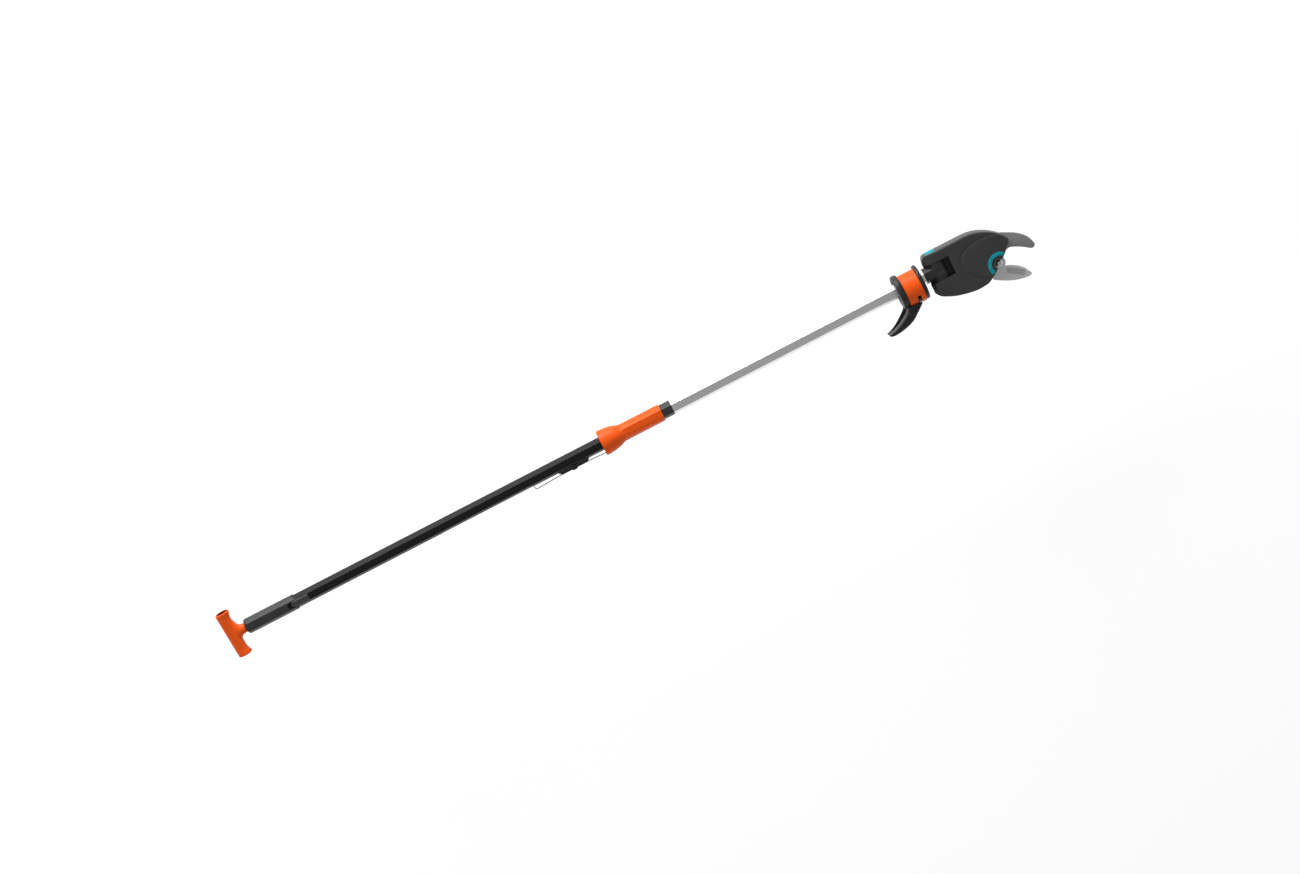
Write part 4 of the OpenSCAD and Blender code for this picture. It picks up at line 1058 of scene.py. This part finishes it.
def take_copy(name, solid, edge=0.0):
    """A copy of a solid with its flat faces joined up, and its edges rounded where that is wanted."""
    piece = bpy.data.objects.new(name, nodes[solid].data.copy())
    bpy.context.scene.collection.objects.link(piece)
    work_on(piece)
    edit_all()
    bpy.ops.mesh.remove_doubles(threshold=0.002 * mm)
    bpy.ops.mesh.dissolve_limited(angle_limit=math.radians(0.5))
    bpy.ops.mesh.customdata_custom_splitnormals_clear()
    bpy.ops.object.mode_set(mode="OBJECT")
    if edge:
        limit = math.radians(30)
        shape_with(piece, "BEVEL", width=edge, segments=2, limit_method="ANGLE", angle_limit=limit)
    return piece


neck = take_copy("neck_moulding", "neck", 0.5 * mm)
for turn, mark_length in [(-43, 2), (-15, 2.2), (13, 10), (41, 2)]:
    angle = math.radians(turn)
    place = (swivel_x + barrel_reach * math.sin(angle), 0, barrel_reach * math.cos(angle))
    for side in (-1, 1):
        low, high = sorted((side * barrel_half, side * (barrel_half - mark_length * mm)))
        mark = block("mark", (-mark_half, low, -mark_depth), (mark_half, high, mark_depth))
        mark.data.transform(Matrix.Translation(place) @ Matrix.Rotation(angle, 4, "Y"))
        combine(neck, mark, "DIFFERENCE")
combine(neck, rod("wiper", 96, wiper_reach, -wiper_half, wiper_half, "Y", swivel), "UNION")
soften(neck)
neck_grey = (0.036, 0.036, 0.0365)
neck_deep = (0.027, 0.027, 0.0275)
neck_plastic = moulded_plastic("neck_plastic", neck_grey, neck_deep, 0.42, shine=0.25)
fit(neck, "pole", "black_plastic", neck_plastic, "neck")
dress(bright_steel, "swivel_pin_upper", "swivel_pin_lower")
dress(bright_steel, "button_plunger", "button_spring", "return_spring")

# Head casing
# Two charcoal mouldings screwed together from behind, rounded at the edges, with a groove round an oval
# panel on each side, a window for the neck and a round opening at the pivot.
casing_grey = (0.044, 0.044, 0.0445)
casing_deep = (0.036, 0.036, 0.0365)
window_half = 17.65 * mm
window_depth = 13.5 * mm
window_end = 1455 * mm
casing_plastic = moulded_plastic("casing_plastic", casing_grey, casing_deep, 0.42, 1700, shine=0.4)
tree = casing_plastic.node_tree
# Painted shade: faces inside the neck's window, below the front of the casing, turn nearly black, standing in
# for the deep shade in there.
place = place_on(tree)
window_shade = calc(tree, "COMPARE", place["Y"], 0.0, window_half)
sunk = calc(tree, "COMPARE", place["Z"], 0.0, window_depth)
behind = calc(tree, "LESS_THAN", place["X"], window_end)
window_shade = calc(tree, "MULTIPLY", calc(tree, "MULTIPLY", window_shade, sunk), behind)
tint_where(casing_plastic, window_shade, (0.001, 0.001, 0.001))
for name, cover in (("front_casing", "front_cover"), ("rear_casing", "rear_cover")):
    casing = take_copy(name, cover)
    soften(casing, 32)
    shape_with(casing, "WEIGHTED_NORMAL", keep_sharp=True, weight=50)
    fit(casing, "head", "casing_plastic", casing_plastic, cover)
dress(dark_steel, "cover_screws", "counter_screws")

# Release button
# Cyan moulded button in the top of the casing, with a soft edge and a shallow hollow for the thumb.
button_low, button_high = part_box("release_button")
button_reach = (button_high.x - button_low.x) / 2
button_round = 1.2 * mm
thumb_hollow = 0.5 * mm
rings = [(button_low.y, 3 * mm), (button_low.y, button_reach)]
for step in range(5):
    turn = math.radians(22.5 * step)
    inset = button_round * (1 - math.cos(turn))
    rings.append((button_high.y - button_round * (1 - math.sin(turn)), button_reach - inset))
for step in range(1, 6):
    part = 1 - step / 6
    rings.append((button_high.y - thumb_hollow * (1 - part**2), (button_reach - button_round) * part))
button = push_rings("button_cap", 96, rings, "Y", swivel, "CAP")
cyan_plastic = moulded_plastic("cyan_plastic", (0.002, 0.37, 0.43), (0.002, 0.34, 0.4), 0.55, shine=0.05)
fit(button, "button", "cyan_plastic", cyan_plastic, "release_button")

# Pivot ring
# Teal moulded insert in the front of the casing, round the pivot.
ring = take_copy("ring_insert", "pivot_ring", 0.35 * mm)
soften(ring)
teal_plastic = moulded_plastic("teal_plastic", (0.0, 0.31, 0.4), (0.0, 0.28, 0.36), 0.4, shine=0.3)
fit(ring, "head", "teal_plastic", teal_plastic, "pivot_ring")


# Counter-blade
# Curved steel hook blade, fixed between the casing halves, stamped and coated dark grey.
def ground_steel(name, colour, streak, metallic, roughness, angle, sunk=-1.0):
    """Ground steel, with the marks of the wheel across the blade, darker on a surface sunk to one height."""
    material, tree, shader = new_material(name)
    place = add_node(tree, "TexCoord").outputs["Object"]
    lay = {"Rotation": (0, 0, math.radians(angle)), "Scale": (1, 0.03, 1)}
    turned = add_node(tree, "Mapping", {"Vector": place, **lay}).outputs[0]
    marks = noise(tree, turned, 1500.0, 4.0)
    mask = calc(tree, "MULTIPLY", marks, noise(tree, place, 60.0, 3.0))
    tint = mix(tree, mask, (*colour, 1), streak)
    inside = calc(tree, "COMPARE", place_on(tree)["Z"], sunk, 0.2 * mm)
    tint = mix(tree, calc(tree, "MULTIPLY", inside, 0.3), tint, (0, 0, 0))
    limits = {"To Min": roughness - 0.1, "To Max": roughness + 0.1}
    dull = add_node(tree, "MapRange", {"Value": marks, **limits}).outputs[0]
    bump = raised(tree, marks, 0.08, 0.05 * mm)
    feed(tree, shader, {"Base Color": tint, "Metallic": metallic, "Roughness": dull, "Normal": bump})
    return material


counter = take_copy("counter_blade_plate", "counter_blade", 0.4 * mm)
soften(counter)
coated_steel = ground_steel("coated_steel", (0.29, 0.29, 0.292), (0.23, 0.23, 0.232), 0.3, 0.45, 55)
fit(counter, "head", "dark_steel", coated_steel, "counter_blade")

# Cutting blade
# Flat steel blade with a ground edge along its upper side and a shallow hollow ground behind the edge.
# Its arm reaches up inside the casing to the pulley.
pivot_x = 1517 * mm
pivot_y = -39.7 * mm
blade_top = 3.1 * mm
edge_width = 1.6 * mm
edge_start = 9 * mm
edge_end = 44 * mm
hollow_depth = 0.4 * mm
hollow_corners = {
    (False, True): (8.9, -13.2),
    (True, True): (38.2, -33),
    (True, False): (31.3, -41.6),
    (False, False): (4.5, -21.8),
}
blade = take_copy("cutting_blade_plate", "cutting_blade")


def on_cutting_edge(start, end):
    """True for an edge of the blade's face along its upper side."""
    places = [point - Vector((pivot_x, pivot_y, blade_top)) for point in (start, end)]
    on_face = all(abs(place.z) < 0.01 * mm for place in places)
    in_reach = all(edge_start < place.x < edge_end for place in places)
    return on_face and in_reach and all(place.y > -4 * mm - 0.85 * place.x for place in places)


bevel_where(blade, on_cutting_edge, edge_width, 1)
hollow = block("hollow", (-1, -1, blade_top - hollow_depth), (1, 1, 6 * mm))
for point in hollow.data.vertices:
    x, y = hollow_corners[point.co.x > 0, point.co.y > 0]
    point.co.x = pivot_x + x * mm
    point.co.y = pivot_y + y * mm
bevel_where(hollow, upright, 2 * mm, 5)
combine(blade, hollow, "DIFFERENCE")
soften(blade, 25)
blade_grey = (0.72, 0.72, 0.725)
blade_streak = (0.62, 0.62, 0.625)
blade_steel = ground_steel("blade_steel", blade_grey, blade_streak, 0.5, 0.38, 56, blade_top - hollow_depth)
fit(blade, "blade", "blade_steel", blade_steel, "cutting_blade")

# Pivot bolt, bush, washer and nut
# Bright domed bolt through both blades, with a six-sided socket, on a bronze bush.
bolt_low, bolt_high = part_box("pivot_bolt")
bolt_reach = 7 * mm
bolt_shank = 4 * mm
head_base = 4.2 * mm
dome_base = head_base + 1.4 * mm
dome_reach = bolt_reach - 0.8 * mm
socket_reach = 2.8 * mm
pivot = (pivot_x, pivot_y, 0)
rings = [(bolt_low.z, bolt_shank), (head_base, bolt_shank), (head_base, bolt_reach - 0.4 * mm)]
rings += [(head_base + 0.4 * mm, bolt_reach), (head_base + 1.2 * mm, bolt_reach)]
for step in range(7):
    turn = math.radians(12.5 * step)
    rise = (bolt_high.z - dome_base) * math.sin(turn) / math.sin(math.radians(75))
    rings.append((dome_base + rise, dome_reach * math.cos(turn)))
bolt = push_rings("bolt_turned", 72, rings, "Z", pivot, "CAP")
socket = rod("socket", 6, socket_reach, head_base + 2.6 * mm, head_base + 9 * mm, "Z", pivot)
combine(bolt, socket, "DIFFERENCE")
soften(bolt)
fit(bolt, "head", "bright_steel", bright_steel, "pivot_bolt")
dress(bright_steel, "pivot_washer", "pivot_nut")
bronze = drawn_metal("bronze", (0.55, 0.36, 0.14), (0.4, 0.25, 0.09), 1.0, 0.35, 1500)
dress(bronze, "pivot_bush")

# Pulleys and head cord
# White pulleys on steel pins inside the casing, with a braided cord round them that pulls the blade's arm.
dress(bearing_plastic, "arm_pulley", "head_pulley_wheel")
dress(bright_steel, "arm_pulley_pin", "head_pulley_pin")
head_cord = take_copy("head_cord_braid", "head_cord")
shape_with(head_cord, "SUBSURF", levels=1, render_levels=1)
soften(head_cord, 60)
fit(head_cord, "head", "cord", cord_braid, "head_cord")
